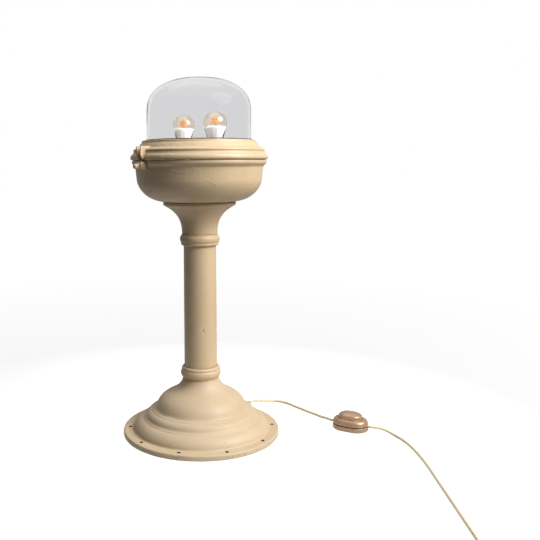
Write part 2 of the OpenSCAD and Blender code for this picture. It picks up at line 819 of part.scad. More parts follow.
module tray_screws() {
  color(STEEL) for (a = tray_angles) rotate([0, 0, a])
    translate([tray_screw_r, 0, tray_z + tray_t]) screw(m4_head_r, m4_head_h, m4_r, 10);
}

module lampholder() {
  difference() {
    union() {
      translate([0, 0, holder_z]) cylinder(r = holder_flange_r, h = holder_flange_t);
      translate([0, 0, holder_z]) cylinder(r = holder_r, h = holder_top_z - holder_z);
    }
    translate([0, 0, bulb_z0 - 2]) cylinder(r = shell_r + fit, h = 40);
    translate([0, 0, bulb_z0 - 5]) cylinder(r = 2 + fit, h = 6);
    translate([0, 0, holder_z - eps]) cylinder(r = 5, h = 6);
    for (s = [-1, 1]) translate([0, s * holder_screw_y, holder_z - eps])
      cylinder(r = 1.5 + fit, h = holder_flange_t + 1);
  }
}

module lampholder_left() {
  color(WHITE) translate([-bulb_x, 0, 0]) lampholder();
}

module lampholder_right() {
  color(WHITE) translate([bulb_x, 0, 0]) lampholder();
}

module holder_shells() {
  color(BRASS) at_bulbs()
    flat_ring(cap_r + fit, shell_r, bulb_z0 + 2, holder_grip - 3);
}

module holder_contacts() {
  color(BRASS) at_bulbs() {
    translate([0, 0, bulb_z0 - 1.2]) cylinder(r = 3.5, h = 1.2);
    translate([0, 0, bulb_z0 - 4.5]) cylinder(r = 2, h = 4);
  }
}

module holder_screws() {
  color(STEEL) at_bulbs() for (s = [-1, 1])
    translate([0, s * holder_screw_y, holder_z + holder_flange_t])
      screw(2.5, 2, 1.5, holder_flange_t + 5);
}

// Bulbs

module bulb_glass() {
  shoulder_a = 16;
  foot = [cap_r + 1.2, cap_top_z];
  swell = [14.6, cap_top_z + 2.4];
  function ball(r, n = 16) = [
    for (i = [0:n]) let (a = -shoulder_a + (90 + shoulder_a) * i / n)
      [r * cos(a), bulb_centre_z + r * sin(a)]
  ];
  color(CLEAR) turned(concat(
    [foot], curve(foot, foot + [3, 0], swell - [1.5, 2], swell, 5),
    ball(bulb_r), reversed(ball(bulb_r - glass_skin)),
    [swell - [glass_skin, 0]],
    reversed(curve(foot + [-glass_skin, glass_skin], foot + [2.2, glass_skin],
                   swell - [1.5 + glass_skin, 1.2], swell - [glass_skin, 0], 5)),
    [foot + [-glass_skin, glass_skin]]
  ));
}

module bulb_cap() {
  color(STEEL) turned([
    [0, bulb_z0 + 1.6], [3, bulb_z0 + 1.6], [cap_r - 2, bulb_z0 + 4], [cap_r, bulb_z0 + 5.5],
    [cap_r, cap_top_z - 3], [cap_r + 1, cap_top_z - 1], [cap_r + 1, cap_top_z - eps],
    [0, cap_top_z - eps]
  ]);
}

module bulb_cone() {
  low = [cap_r - 1, cap_top_z + glass_skin + 0.2];
  wide = [13, low.y + 2];
  rim = [bulb_r - glass_skin - 1.7, bulb_centre_z - 7];
  color(WHITE) turned(concat(
    [[0, cap_top_z], [low.x, cap_top_z], low],
    curve(low, low + [3, 0.1], wide - [1.2, 1.3], wide, 4),
    [rim], curve(rim, rim + [-5, 1.9], [9, bulb_centre_z - 4.5], [0, bulb_centre_z - 4.5], 8)
  ));
}

// Filament loop wound round a post, with its two ends led back to the post
module bulb_filament() {
  z0 = bulb_centre_z - 4.5;
  turns = 2.25;
  steps = 27;
  post = 0.7;
  loop = 6.4;
  strand = 0.9;
  start = [post + fit, 0, z0 + 3];
  end = [0, post + fit, z0 + 14.6];
  color("orange") {
    translate([0, 0, z0]) cylinder(r = post, h = 17);
    tube(concat(
      [start, start + [1.5, 0, 0]],
      [for (i = [1:steps]) let (a = 360 * turns * i / steps)
        [loop * cos(a), loop * sin(a), z0 + 3 + 11 * i / steps]],
      [end + [0, 1.5, 0], end]
    ), strand, 6);
  }
}

module bulb_contact() {
  color(STEEL) translate([0, 0, bulb_z0]) cylinder(r = 2.4, h = 1.6);
}

module bulb_glass_left() {
  translate([-bulb_x, 0, 0]) bulb_glass();
}

module bulb_cap_left() {
  translate([-bulb_x, 0, 0]) bulb_cap();
}

module bulb_cone_left() {
  translate([-bulb_x, 0, 0]) bulb_cone();
}

module bulb_filament_left() {
  translate([-bulb_x, 0, 0]) bulb_filament();
}

module bulb_contact_left() {
  translate([-bulb_x, 0, 0]) bulb_contact();
}

module bulb_glass_right() {
  translate([bulb_x, 0, 0]) bulb_glass();
}

module bulb_cap_right() {
  translate([bulb_x, 0, 0]) bulb_cap();
}

module bulb_cone_right() {
  translate([bulb_x, 0, 0]) bulb_cone();
}

module bulb_filament_right() {
  translate([bulb_x, 0, 0]) bulb_filament();
}

module bulb_contact_right() {
  translate([bulb_x, 0, 0]) bulb_contact();
}

// Wiring inside the lamp

module terminal_block() {
  color(WHITE) difference() {
    translate([-block_w / 2, block_y - block_d / 2, tray_z - block_h])
      cube([block_w, block_d, block_h]);
    for (s = [-1, 1]) translate([s * block_screw_x, block_y, tray_z - 10])
      cylinder(r = 1.5 + fit, h = 11);
    for (s = [-1, 1]) for (y = [-5, 5])
      translate([s * 6, block_y + y, tray_z - block_h - eps]) cylinder(r = 2, h = 5);
  }
}

module terminal_screws() {
  color(STEEL) {
    for (s = [-1, 1]) translate([s * block_screw_x, block_y, tray_z + tray_t])
      screw(2.6, 2, 1.5, tray_t + 9);
    for (s = [-1, 1]) for (y = [-5, 5])
      translate([s * 6, block_y + y, tray_z - block_h + 1]) cylinder(r = 1.95, h = 3.9);
  }
}

// Two wires from the block to each lampholder, under the tray and up through its hole
module holder_wires() {
  z = tray_z - 8;
  up = holder_z + 5.5;
  color("saddlebrown") for (s = [-1, 1]) for (k = [-1, 1]) {
    block = [s * block_w / 2, block_y + 4 * k, z];
    a = block + [s, 0, 0];
    b = [s * bulb_x, 2.2 * k, z - 1];
    c = [s * bulb_x, 2.2 * k, up];
    tube(concat([block, a],
                curve(a, a + [s * wire_lead, 0, -3], b + [0, wire_bend, -8], b + [0, 0, 3], 8), [c]),
         wire_r, 6);
  }
}

// The cord inside the lamp: through the relief, across the foot, up the tie tube, to the block
module inner_flex() {
  bend = 18;
  out = [cos(exit_angle), sin(exit_angle), 0];
  foot = [0, 0, exit_z];
  head = [0, 0, flex_z];
  to_block = block_y - block_d / 2;
  color(CORD) tube(concat(
    [foot + (relief_tip_r - 0.15) * out, foot + 60 * out],
    [for (i = [0:6]) foot + bend * (1 - sin(15 * i)) * out + [0, 0, bend * (1 - cos(15 * i))]],
    [for (i = [0:6]) head - [0, 0, bend] + bend * [0, 1 - cos(15 * i), sin(15 * i)]],
    [[0, to_block, flex_z]]
  ), cord_r, 10);
}

module cord_relief() {
  neck = relief_tip_r - relief_seat_r - 3;
  color(RUBBER) at_exit() difference() {
    union() {
      translate([0, 0, relief_nut_seat_r - 8])
        cylinder(r = relief_shank_r, h = relief_seat_r - relief_nut_seat_r + 9);
      translate([0, 0, relief_seat_r]) cylinder(r = relief_flange_r, h = 3);
      translate([0, 0, relief_seat_r + 3]) cylinder(r1 = 5, r2 = cord_r + 0.9, h = neck);
    }
    translate([0, 0, relief_nut_seat_r - 10])
      cylinder(r = cord_r + fit, h = relief_wall + relief_len + 12);
  }
}

module relief_nut() {
  color(STEEL) at_exit() translate([0, 0, relief_nut_seat_r - 4]) difference() {
    cylinder(r = 8, h = 4, $fn = 6);
    translate([0, 0, -eps]) cylinder(r = relief_shank_r + fit, h = 4 + 2 * eps);
  }
}

// Foot switch, in its own frame: the cord runs along X

module at_switch() {
  rotate([0, 0, route_turn]) translate(switch_at) rotate([0, 0, switch_yaw]) children();
}

// A half profile swept round an oval with straight flanks
module oval(flank) {
  for (s = [-1, 1]) translate([s * flank / 2, 0, 0]) rotate([0, 0, s * 90 + 180])
    rotate_extrude(angle = 180) children();
  rotate([90, 0, 90]) linear_extrude(flank, center = true) {
    children();
    mirror([1, 0]) children();
  }
}

switch_r = switch_w / 2;
switch_wall = 2;
button_r = button_w / 2;
button_flank = 11;
button_skirt = 1.6;
cover_z = switch_base_h + 0.1;
cover_top_z = switch_base_h + switch_cover_h;
contact_z = 5;
contact_x = 13;
post_at = [switch_flank / 2 + 12.5, 14.5];
post_r = 3;
case_screw_r = 1.25;
clamp_x = switch_end_x - 8.5;
clamp_w = 16;
clamp_screw_y = 6;
clamp_screw_r = 1.2;
clamp_t = 3.6;

// What the cord takes out of the two shells
module cord_ways(r) {
  for (s = [-1, 1]) translate([s * switch_end_x, 0, switch_cord_z]) rotate([0, 90, 0])
    cylinder(r = r, h = 26, center = true);
}

module switch_base() {
  r = switch_r;
  color(BRONZE) at_switch() difference() {
    union() {
      oval(switch_flank) polygon([
        [0, 0], [r - 1.2, 0], [r, 1.2], [r, switch_base_h], [r - switch_wall, switch_base_h],
        [r - switch_wall, switch_wall], [0, switch_wall]
      ]);
      for (s = [-1, 1]) {
        translate([s * post_at.x, s * post_at.y, 1]) cylinder(r = post_r, h = switch_base_h - 1);
        translate([s * contact_x - 5, -4, 1]) cube([10, 8, contact_z - 1]);
        translate([s * clamp_x - 2, -clamp_w / 2, 1]) cube([4, clamp_w, switch_base_h - 1]);
      }
    }
    for (s = [-1, 1]) {
      translate([s * post_at.x, s * post_at.y, -eps]) cylinder(r = case_screw_r + 0.1, h = 20);
      translate([s * post_at.x, s * post_at.y, -eps]) cylinder(r = 2.6, h = 1.6);
      translate([s * contact_x, 0, 2.5]) cylinder(r = 1.5 + fit, h = 10);
      for (y = [-1, 1]) translate([s * clamp_x, y * clamp_screw_y, 3])
        cylinder(r = clamp_screw_r + fit, h = 10);
    }
    cord_ways(cord_r + 0.2);
  }
}

module switch_cover() {
  r = switch_r;
  z1 = cover_top_z;
  shoulder_z = cover_z + 3.6;
  inner = r - switch_wall;
  color(BRONZE) at_switch() difference() {
    union() {
      oval(switch_flank) polygon(concat(
        [[inner, cover_z], [r, cover_z], [r, shoulder_z - 0.8], [r - 0.5, shoulder_z]],
        curve([r - 0.5, shoulder_z], [r - 0.8, (shoulder_z + z1) / 2], [r - 3, z1 - 0.6],
              [r - 7.5, z1], 7),
        [[0, z1], [0, z1 - switch_wall]],
        reversed(curve([inner, shoulder_z - 0.2], [inner - 0.8, z1 - switch_wall - 1.6],
                       [r - 5.5, z1 - switch_wall], [r - 8.5, z1 - switch_wall], 6)),
        [[inner, shoulder_z - 0.2]]
      ));
      for (s = [-1, 1]) translate([s * post_at.x, s * post_at.y, cover_z])
        cylinder(r = post_r, h = switch_cover_h - switch_wall - 1);
    }
    oval(button_flank) translate([0, z1 - 6]) square([button_r + 0.3, 10]);
    for (s = [-1, 1]) translate([s * post_at.x, s * post_at.y, cover_z - eps])
      cylinder(r = case_screw_r + fit, h = 6);
    cord_ways(cord_r + 0.2);
  }
}

module switch_button() {
  r = button_r;
  z0 = cover_top_z - switch_wall - 2;
  z1 = cover_top_z + button_h;
  skirt_r = r + button_skirt;
  color(BRONZE) at_switch() union() {
    oval(button_flank) polygon(concat(
      [[0, z0], [skirt_r, z0], [skirt_r, z0 + 1.1], [r, z0 + 1.7], [r, z1 - 7.6]],
      curve([r, z1 - 7.6], [r - 0.2, z1 - 5.6], [r - 1.8, z1 - 4.5], [r - 4.4, z1 - 3.4], 6),
      curve([r - 4.4, z1 - 3.4], [r - 8.4, z1 - 1.6], [6, z1], [0, z1], 7)
    ));
    translate([0, 0, bridge_z + 1]) cylinder(r = 3, h = z0 - bridge_z - 1 + eps);
  }
}

// Bridge on the button's stem, that closes the circuit when the button is down
bridge_z = contact_z + 1.1 + button_travel;

module switch_bridge() {
  color(BRASS) at_switch() translate([-10, -3, bridge_z]) cube([20, 6, 1]);
}

spring_r = 2.6;
spring_wire_r = 0.3;
spring_curls = 4;

module switch_spring() {
  n = 8 * spring_curls;
  lift = spring_wire_r + 0.02;
  low = switch_wall + lift;
  high = bridge_z - lift;
  color(STEEL) at_switch() tube([
    for (i = [0:n]) let (a = 45 * i)
      [spring_r * cos(a), spring_r * sin(a), low + (high - low) * i / n]
  ], spring_wire_r, 6);
}

// Fixed contact strips under the bridge's ends
module switch_contacts() {
  color(BRASS) at_switch() for (s = [-1, 1]) difference() {
    translate([s * (contact_x + 0.5) - 6.5, -3, contact_z]) cube([13, 6, 0.9]);
    translate([s * contact_x, 0, contact_z - eps]) cylinder(r = 1.5 + fit, h = 1.2);
  }
}

module switch_clamps() {
  z0 = switch_base_h + 0.2;
  color(WHITE) at_switch() difference() {
    for (s = [-1, 1]) translate([s * clamp_x - 2, -clamp_w / 2, z0]) cube([4, clamp_w, clamp_t]);
    for (s = [-1, 1]) for (y = [-1, 1]) translate([s * clamp_x, y * clamp_screw_y, z0 - 1])
      cylinder(r = clamp_screw_r + fit, h = clamp_t + 2);
    cord_ways(cord_r + 0.1);
  }
}

module switch_screws() {
  clamp_top = switch_base_h + 0.2 + clamp_t;
  color(STEEL) at_switch() for (s = [-1, 1]) {
    translate([s * post_at.x, s * post_at.y, 1.5]) mirror([0, 0, 1])
      screw(2.3, 1.2, case_screw_r, switch_base_h + 3);
    translate([s * contact_x, 0, contact_z + 0.9]) screw(2.4, 1.4, 1.5, 3.2);
    for (y = [-1, 1]) translate([s * clamp_x, y * clamp_screw_y, clamp_top])
      screw(1.6, 1, clamp_screw_r, clamp_t + 5);
  }
}

// Free cord

// A point in the switch's frame, in the frame of the route
function from_switch(x, z) = [
  switch_at.x + x * cos(switch_yaw), switch_at.y + x * sin(switch_yaw), z
];
function relief_tip() = turned_xy([relief_tip_r, 0, exit_z], exit_angle - route_turn);
function coil_start() = [coil_at.x + coil_out_r, coil_at.y + cord_d, coil_z];
function route_length(p) = len(p) < 2 ? 0 : norm_sum(p, 0);
function norm_sum(p, i) = i > len(p) - 2 ? 0 : norm(p[i + 1] - p[i]) + norm_sum(p, i + 1);

TO_SWITCH = concat(
  [relief_tip()], ROUTE_TO_SWITCH,
  [from_switch(-switch_end_x - 0.5, switch_cord_z),
   from_switch(-switch_end_x + cord_in_switch, switch_cord_z)]
);
TO_COIL = concat(
  [from_switch(switch_end_x - cord_in_switch, switch_cord_z),
   from_switch(switch_end_x + 0.5, switch_cord_z)],
  ROUTE_TO_COIL, [coil_start() + [0, 5, 0], coil_start()]
);

module cord_to_switch() {
  color(CORD) rotate([0, 0, route_turn]) tube(TO_SWITCH, cord_r, 10);
}

module cord_to_coil() {
  color(CORD) rotate([0, 0, route_turn]) tube(TO_COIL, cord_r, 10);
}

// The coil winds in for half its turns, climbs a layer where it reverses, and winds out again
function coil_point(t) = let (
  half = coil_turns / 2,
  in = half - abs(t - half),
  climb = min(1, max(0, (t - half + 0.25) / 0.5)),
  r = coil_out_r - coil_pitch * in
) [
  coil_at.x + r * cos(-360 * t), coil_at.y + r * sin(-360 * t),
  coil_z + coil_rise * climb * climb * (3 - 2 * climb)
];
COIL = [for (i = [0:coil_steps * coil_turns]) coil_point(i / coil_steps)];
coil_end = [coil_at.x + coil_out_r, coil_at.y, coil_z + coil_rise];
plug_z = plug_t / 2;
COIL_ROUTE = concat(
  [coil_start()], COIL,
  [coil_end + [0, -0.28 * tail_len, 0], [coil_end.x, coil_end.y - 0.62 * tail_len, plug_z + 0.5],
   [coil_end.x, coil_end.y - tail_len + cord_d, plug_z],
   [coil_end.x, coil_end.y - tail_len, plug_z]]
);

module cord_coil() {
  color(CORD) rotate([0, 0, route_turn]) tube(COIL_ROUTE, cord_r, coil_sides);
}

// Least distance between points of the coil that are more than a third of a turn apart
coil_near = min([
  for (i = [0:len(COIL) - 1]) for (j = [i + 8:1:len(COIL) - 1]) norm(COIL[i] - COIL[j])
]);
echo(coil_least_gap = coil_near - cord_d);
echo(cord_to_switch = route_length(TO_SWITCH), cord_to_coil = route_length(TO_COIL));
echo(cord_coil = route_length(COIL_ROUTE));

module coil_tie() {
  r0 = coil_out_r - coil_pitch * coil_turns / 2 - cord_r - 0.6;
  r1 = coil_out_r + cord_r + 0.3;
  h = coil_rise + cord_d + 0.5;
  color(RUBBER) rotate([0, 0, route_turn]) translate(coil_at) rotate([0, 0, 180])
    rotate([90, 0, 0]) translate([0, 0, -tie_w / 2]) difference() {
      translate([r0 - tie_t, 0, 0]) cube([r1 - r0 + 2 * tie_t, h + 2 * tie_t, tie_w]);
      translate([r0, tie_t, -eps]) cube([r1 - r0, h, tie_w + 2 * eps]);
    }
}

// Plug, in its own frame: +X leads from the cord to the pins
module at_plug() {
  rotate([0, 0, route_turn]) translate([coil_end.x, coil_end.y - tail_len, plug_z])
    rotate([0, 0, -90]) children();
}

module plug_body() {
  w = plug_w / 2;
  t = plug_t / 2;
  color(BRONZE) at_plug() union() {
    rotate([0, 90, 0]) cylinder(r1 = cord_r + 0.9, r2 = 4.6, h = plug_relief_len + 1);
    translate([plug_relief_len, 0, 0]) intersection() {
      linear_extrude(plug_t, center = true) polygon([
        [0, -7], [0.35 * plug_len, -w], [plug_len - 1, -w], [plug_len, 1 - w],
        [plug_len, w - 1], [plug_len - 1, w], [0.35 * plug_len, w], [0, 7]
      ]);
      rotate([90, 0, 0]) linear_extrude(plug_w + 2, center = true) polygon([
        [0, -0.75 * t], [4, -t], [plug_len - 1, -t], [plug_len, 1 - t], [plug_len, t - 1],
        [plug_len - 1, t], [4, t], [0, 0.75 * t]
      ]);
    }
  }
}

module plug_pins() {
  color(STEEL) at_plug() for (s = [-1, 1])
    translate([plug_relief_len + plug_len, s * plug_pin_y, 0]) rotate([0, 90, 0]) union() {
      cylinder(d = plug_pin_d, h = plug_pin_len - 1);
      translate([0, 0, plug_pin_len - 1]) cylinder(d1 = plug_pin_d, d2 = plug_pin_d - 1.6, h = 1);
    }
}

base_casting();
base_bell();
lower_collar();
column_tube();
upper_collar();
neck_casting();
tie_tube();
tie_nuts();
tie_washers();
bowl_floor();
bowl_casting();
rim_gasket();
clamp_ring();
clamp_lug();
dome_gasket();
glass_dome();
seat_gasket();
retaining_ring();
retaining_screws();
hinge_pin();
swing_bolt();
catch_pin();
lamp_tray();
tray_screws();
lampholder_left();
lampholder_right();
holder_shells();
holder_contacts();
holder_screws();
bulb_glass_left();
bulb_cap_left();
bulb_cone_left();
bulb_filament_left();
bulb_contact_left();
bulb_glass_right();
bulb_cap_right();
bulb_cone_right();
bulb_filament_right();
bulb_contact_right();
terminal_block();
terminal_screws();
holder_wires();
inner_flex();
cord_relief();
relief_nut();
switch_base();
switch_cover();
switch_button();
switch_bridge();
switch_spring();
switch_contacts();
switch_clamps();
switch_screws();
cord_to_switch();
cord_to_coil();
cord_coil();
coil_tie();
plug_body();
plug_pins();
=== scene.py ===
import json
import math

import bmesh
import bpy
import numpy as np
from mathutils import Matrix, Vector


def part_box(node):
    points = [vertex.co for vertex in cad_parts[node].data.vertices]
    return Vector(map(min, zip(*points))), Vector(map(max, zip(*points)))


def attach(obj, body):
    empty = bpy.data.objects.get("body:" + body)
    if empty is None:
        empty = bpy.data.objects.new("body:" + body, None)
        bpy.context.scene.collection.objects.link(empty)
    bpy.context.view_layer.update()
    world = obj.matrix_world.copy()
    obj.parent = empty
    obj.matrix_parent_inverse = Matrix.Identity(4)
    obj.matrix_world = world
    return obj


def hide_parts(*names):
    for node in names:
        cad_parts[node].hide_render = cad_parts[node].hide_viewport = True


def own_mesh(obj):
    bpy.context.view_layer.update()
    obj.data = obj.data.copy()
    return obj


# Railway post lamp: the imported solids, dressed as castings, glass and turned parts, and lit for the
# photograph's camera. Lengths are in metres. Marks, castings and rounded edges are in millimetres.

MM = 1000  # in a metre
WHITE = (1, 1, 1, 1)
CLEAR = (0.99, 0.99, 0.99, 1)

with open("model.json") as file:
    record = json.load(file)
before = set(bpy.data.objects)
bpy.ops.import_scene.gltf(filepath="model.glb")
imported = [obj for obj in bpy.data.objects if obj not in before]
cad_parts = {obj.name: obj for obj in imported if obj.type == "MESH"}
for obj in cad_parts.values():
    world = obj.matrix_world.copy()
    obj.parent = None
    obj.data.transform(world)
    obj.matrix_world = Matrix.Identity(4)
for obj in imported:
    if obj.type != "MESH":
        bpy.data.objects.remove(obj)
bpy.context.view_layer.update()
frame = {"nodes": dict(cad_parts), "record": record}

# Body and finish of each node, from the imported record
BODY_OF = {node: body for body, nodes in frame["record"]["behaviour"]["bodies"].items()
           for node in nodes}
SLOT_OF = {row["node"]: row["material_slot"] for row in frame["record"]["subparts"]}

# Camera, fitted to the rings, the hole circle and the column of the photograph
IMAGE_PX = 540
FOCAL_PX = 715
AXIS_PX = 199.2
HORIZON_PX = 165
VIEW_TURN = math.radians(53)
VIEW_DISTANCE = 1.375
VIEW_HEIGHT = 0.510
VIEW_ROLL = math.radians(-0.45)
SENSOR_MM = 36

# Stage. The floor is seen light grey near the lamp and white further out. The light that it throws
# back at the lamp is that of pale paper nearby and of a dim floor beyond
FLOOR_HALF = 12
SEEN_NEAR, SEEN_FAR = 0.88, 1.0
SEEN_FROM, SEEN_TO = 0.6, 2.2
PAPER, DIM = 0.5, 0.08
PAPER_END, DIM_FROM = 0.3, 0.7
WORLD_FILL = 0.02
SEEN_IN_GLOSS = 0.5

# Cord. Its own frame is the lamp's, turned so that X runs to the right in the picture
CORD_D = 0.0048
CORD_R = CORD_D / 2
CORD_STEP = 0.0016
CORD_SIDES = 14
EXIT_ANGLE = math.radians(100)
EXIT_R = 0.148
EXIT_Z = 0.017

# Foot switch, in the cord's frame. The cord stays level for a lip's length before it goes in
SWITCH_AT = (0.288, 0.004)
SWITCH_YAW = math.radians(-30)
SWITCH_END = 0.034
SWITCH_LIP = 0.0005
CORD_IN_SWITCH = 0.012
SWITCH_CORD_Z = 0.0095

# The cord's routes, without their two ends. A point without a height lies on the floor
ROUTE_TO_SWITCH = [
    (0.105, 0.1126, 0.0169), (0.112, 0.121, 0.0154), (0.119, 0.131, 0.0126),
    (0.126, 0.141, 0.0094), (0.134, 0.150, 0.0066), (0.144, 0.157, 0.0044),
    (0.156, 0.160, 0.0029), (0.168, 0.157), (0.179, 0.149), (0.188, 0.138), (0.197, 0.125),
    (0.206, 0.112), (0.215, 0.099), (0.224, 0.087), (0.233, 0.074, 0.0026),
    (0.240, 0.061, 0.0034), (0.246, 0.048, 0.0052), (0.250, 0.036, 0.0074), (0.253, 0.027, 0.009),
]
ROUTE_TO_COIL = [
    (0.322, -0.016, 0.0095), (0.331, -0.018, 0.0092), (0.340, -0.020, 0.008),
    (0.349, -0.0245, 0.006), (0.356, -0.032, 0.004), (0.362, -0.042, 0.0028),
    (0.367, -0.054), (0.371, -0.067), (0.374, -0.081), (0.376, -0.095), (0.3775, -0.109),
    (0.3785, -0.123), (0.379, -0.137), (0.3795, -0.151), (0.3795, -0.165), (0.3795, -0.179),
    (0.379, -0.193), (0.3785, -0.207), (0.378, -0.221), (0.3775, -0.235), (0.377, -0.249),
    (0.3765, -0.263), (0.376, -0.277), (0.3755, -0.291), (0.375, -0.305), (0.3745, -0.319),
    (0.374, -0.333), (0.3735, -0.347), (0.373, -0.361), (0.3725, -0.375), (0.372, -0.389),
    (0.3715, -0.403), (0.371, -0.417), (0.3708, -0.431, 0.0026), (0.3706, -0.445, 0.0029),
    (0.3705, -0.459, 0.0032),
]

# The coil winds in on one layer and out on the next. Its tail leads to the plug
COIL_AT = (0.336, -0.480)
COIL_TURNS = 6
COIL_STEPS = 24
COIL_PITCH = 0.0054
COIL_RISE = 0.0053
COIL_CLIMB_TURNS = 0.5
COIL_MEAN_R = 0.0265
COIL_OUT_R = COIL_MEAN_R + COIL_PITCH * COIL_TURNS / 4
COIL_Z = 0.0032
COIL_LEAD = 0.005
PLUG_Z = 0.00685
TAIL = 0.025
TAIL_HIGH, TAIL_LOW = 0.28, 0.62
TAIL_LOW_RISE = 0.0005

# How castings are roughened and edges are rounded
SMOOTH_FACTOR = 0.5
CLOUD_DEPTH = 2
CLOUD_LEVEL = 0.75
EDGE_SEGMENTS = 3
EDGE_ANGLE = math.radians(30)
SHARP_ANGLE = math.radians(35)


# Shapes

def laid(point):
    """A point of the cord's own frame in the lamp's."""
    x, y, z = point
    return (x * math.cos(VIEW_TURN) - y * math.sin(VIEW_TURN),
            x * math.sin(VIEW_TURN) + y * math.cos(VIEW_TURN), z)


def lengths_along(points):
    """The length from the first point to each one."""
    return np.concatenate([[0], np.cumsum([(q - p).length for p, q in zip(points, points[1:])])])


def curve_through(points, step):
    """Points a step apart on a smooth curve through the given ones."""
    fineness = 4
    given = [Vector(p) for p in points]
    given = [2 * given[0] - given[1]] + given + [2 * given[-1] - given[-2]]
    dense = []
    for a, b, c, d in zip(given, given[1:], given[2:], given[3:]):
        count = max(2, round((c - b).length / (step / fineness)))
        for i in range(count):
            t = i / count
            dense.append(0.5 * (2 * b + (c - a) * t + (2 * a - 5 * b + 4 * c - d) * t ** 2
                                + (3 * b - 3 * c + d - a) * t ** 3))
    dense.append(given[-2])
    lengths = lengths_along(dense)
    count = max(2, round(lengths[-1] / step)) + 1
    places = np.array(dense)
    return [Vector([np.interp(length, lengths, places[:, k]) for k in range(3)])
            for length in np.linspace(0, lengths[-1], count)]


def bezier(start, start_handle, end_handle, end, count):
    """Points on a cubic curve after its start. The handles are counted from its two ends."""
    points = []
    for i in range(1, count + 1):
        t = i / count
        s = 1 - t
        points.append(tuple(
            s ** 3 * start[k] + 3 * s * s * t * (start[k] + start_handle[k])
            + 3 * s * t * t * (end[k] + end_handle[k]) + t ** 3 * end[k] for k in range(2)))
    return points


def add_object(name, data):
    piece = bpy.data.objects.new(name, data)
    bpy.context.scene.collection.objects.link(piece)
    return piece


def smooth(mesh):
    mesh.polygons.foreach_set("use_smooth", [True] * len(mesh.polygons))


def new_mesh(name, points, faces, uv=None):
    mesh = bpy.data.meshes.new(name)
    mesh.from_pydata([tuple(p) for p in points], [], faces)
    mesh.validate()
    if uv is not None:
        layer = mesh.uv_layers.new(name="UVMap")
        layer.data.foreach_set("uv", np.asarray(uv, np.float32).ravel())
    smooth(mesh)
    return mesh


def stand_for(piece, nodes, material=None):
    """Gives a piece the body and finish of the nodes that it replaces, and hides those nodes."""
    piece.data.materials.clear()
    piece.data.materials.append(material or FINISHES[SLOT_OF[nodes[0]]])
    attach(piece, BODY_OF[nodes[0]])
    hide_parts(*nodes)
    return piece


def made_of(name, shape, nodes, uv=None):
    """A new piece from a shape's points and faces."""
    return stand_for(add_object(name, new_mesh(name, *shape, uv)), nodes)


def copied(name, nodes, seams=()):
    """One mesh of copied nodes, without the faces where the CAD cuts a casting in two."""
    on_seam, weld = 1e-5, 1e-6
    shape = bmesh.new()
    for node in nodes:
        shape.from_mesh(frame["nodes"][node].data)
    for axis, place in seams:
        cut = [f for f in shape.faces if all(abs(v.co[axis] - place) < on_seam for v in f.verts)]
        bmesh.ops.delete(shape, geom=cut, context="FACES")
    bmesh.ops.remove_doubles(shape, verts=shape.verts, dist=weld)
    mesh = bpy.data.meshes.new(name)
    shape.to_mesh(mesh)
    shape.free()
    return mesh


def modifier(piece, kind, **settings):
    made = piece.modifiers.new(kind.lower(), kind)
    for key, value in settings.items():
        setattr(made, key, value)


def baked(piece):
    """Turns a piece's modifiers into its mesh."""
    shown = piece.evaluated_get(bpy.context.evaluated_depsgraph_get())
    mesh = bpy.data.meshes.new_from_object(shown)
    piece.modifiers.clear()
    piece.data = mesh
    return mesh


def vectors(items, key):
    """One row for each vertex or normal of a mesh."""
    flat = np.empty(len(items) * 3)
    items.foreach_get(key, flat)
    return flat.reshape(-1, 3)


def on_lamp(angle, r, z):
    """A point in metres from degrees about the lamp's axis and millimetres."""
    a = math.radians(angle)
    return np.array([r * math.cos(a), r * math.sin(a), z]) / MM


def all_round(r, z):
    """A route about the lamp's axis, with a point every few degrees."""
    every = 6
    return [(angle, r, z) for angle in range(0, 360 + every, every)]


def scored(co, normals, route, width, depth):
    """Presses a groove along a route into the surface, or raises a ridge where depth is negative.

    A single number instead of a route is a height in metres: the groove goes all round there."""
    if isinstance(route, float):
        near = np.abs(co[:, 2] - route)
    else:
        near = np.full(len(co), np.inf)
        places = [on_lamp(*p) for p in route]
        for a, b in zip(places, places[1:] or places):
            way = b - a
            share = np.clip((co - a) @ way / max(way @ way, 1e-12), 0, 1)
            near = np.minimum(near, np.linalg.norm(co - a - share[:, None] * way, axis=1))
    return co - normals * (depth / MM * np.exp(-(near * MM / width) ** 2))[:, None]


def casting(name, nodes, material, voxel, rounding, waves, grain, marks=(), seams=()):
    """Copies nodes as one rough casting: edges rounded over, then slow waves and a fine grain.

    waves and grain are (size, height), and the skin never leaves the nodes' box."""
    piece = add_object(name, copied(name, nodes, seams))
    co = vectors(piece.data.vertices, "co")
    low, high = co.min(axis=0), co.max(axis=0)
    modifier(piece, "REMESH", mode="VOXEL", voxel_size=voxel / MM)
    modifier(piece, "SMOOTH", factor=SMOOTH_FACTOR, iterations=rounding)
    textures = []
    for size, height in (waves, grain):
        texture = bpy.data.textures.new(name, "CLOUDS")
        texture.noise_scale = size / MM
        texture.noise_depth = CLOUD_DEPTH
        modifier(piece, "DISPLACE", texture=texture, texture_coords="LOCAL",
                 mid_level=CLOUD_LEVEL, strength=height / MM)
        textures.append(texture)
    mesh = baked(piece)
    for texture in textures:
        bpy.data.textures.remove(texture)
    co, normals = vectors(mesh.vertices, "co"), vectors(mesh.vertex_normals, "vector")
    for mark in marks:
        co = scored(co, normals, *mark)
    mesh.vertices.foreach_set("co", np.clip(co, low, high).ravel())
    mesh.update()
    smooth(mesh)
    stand_for(piece, nodes, material)


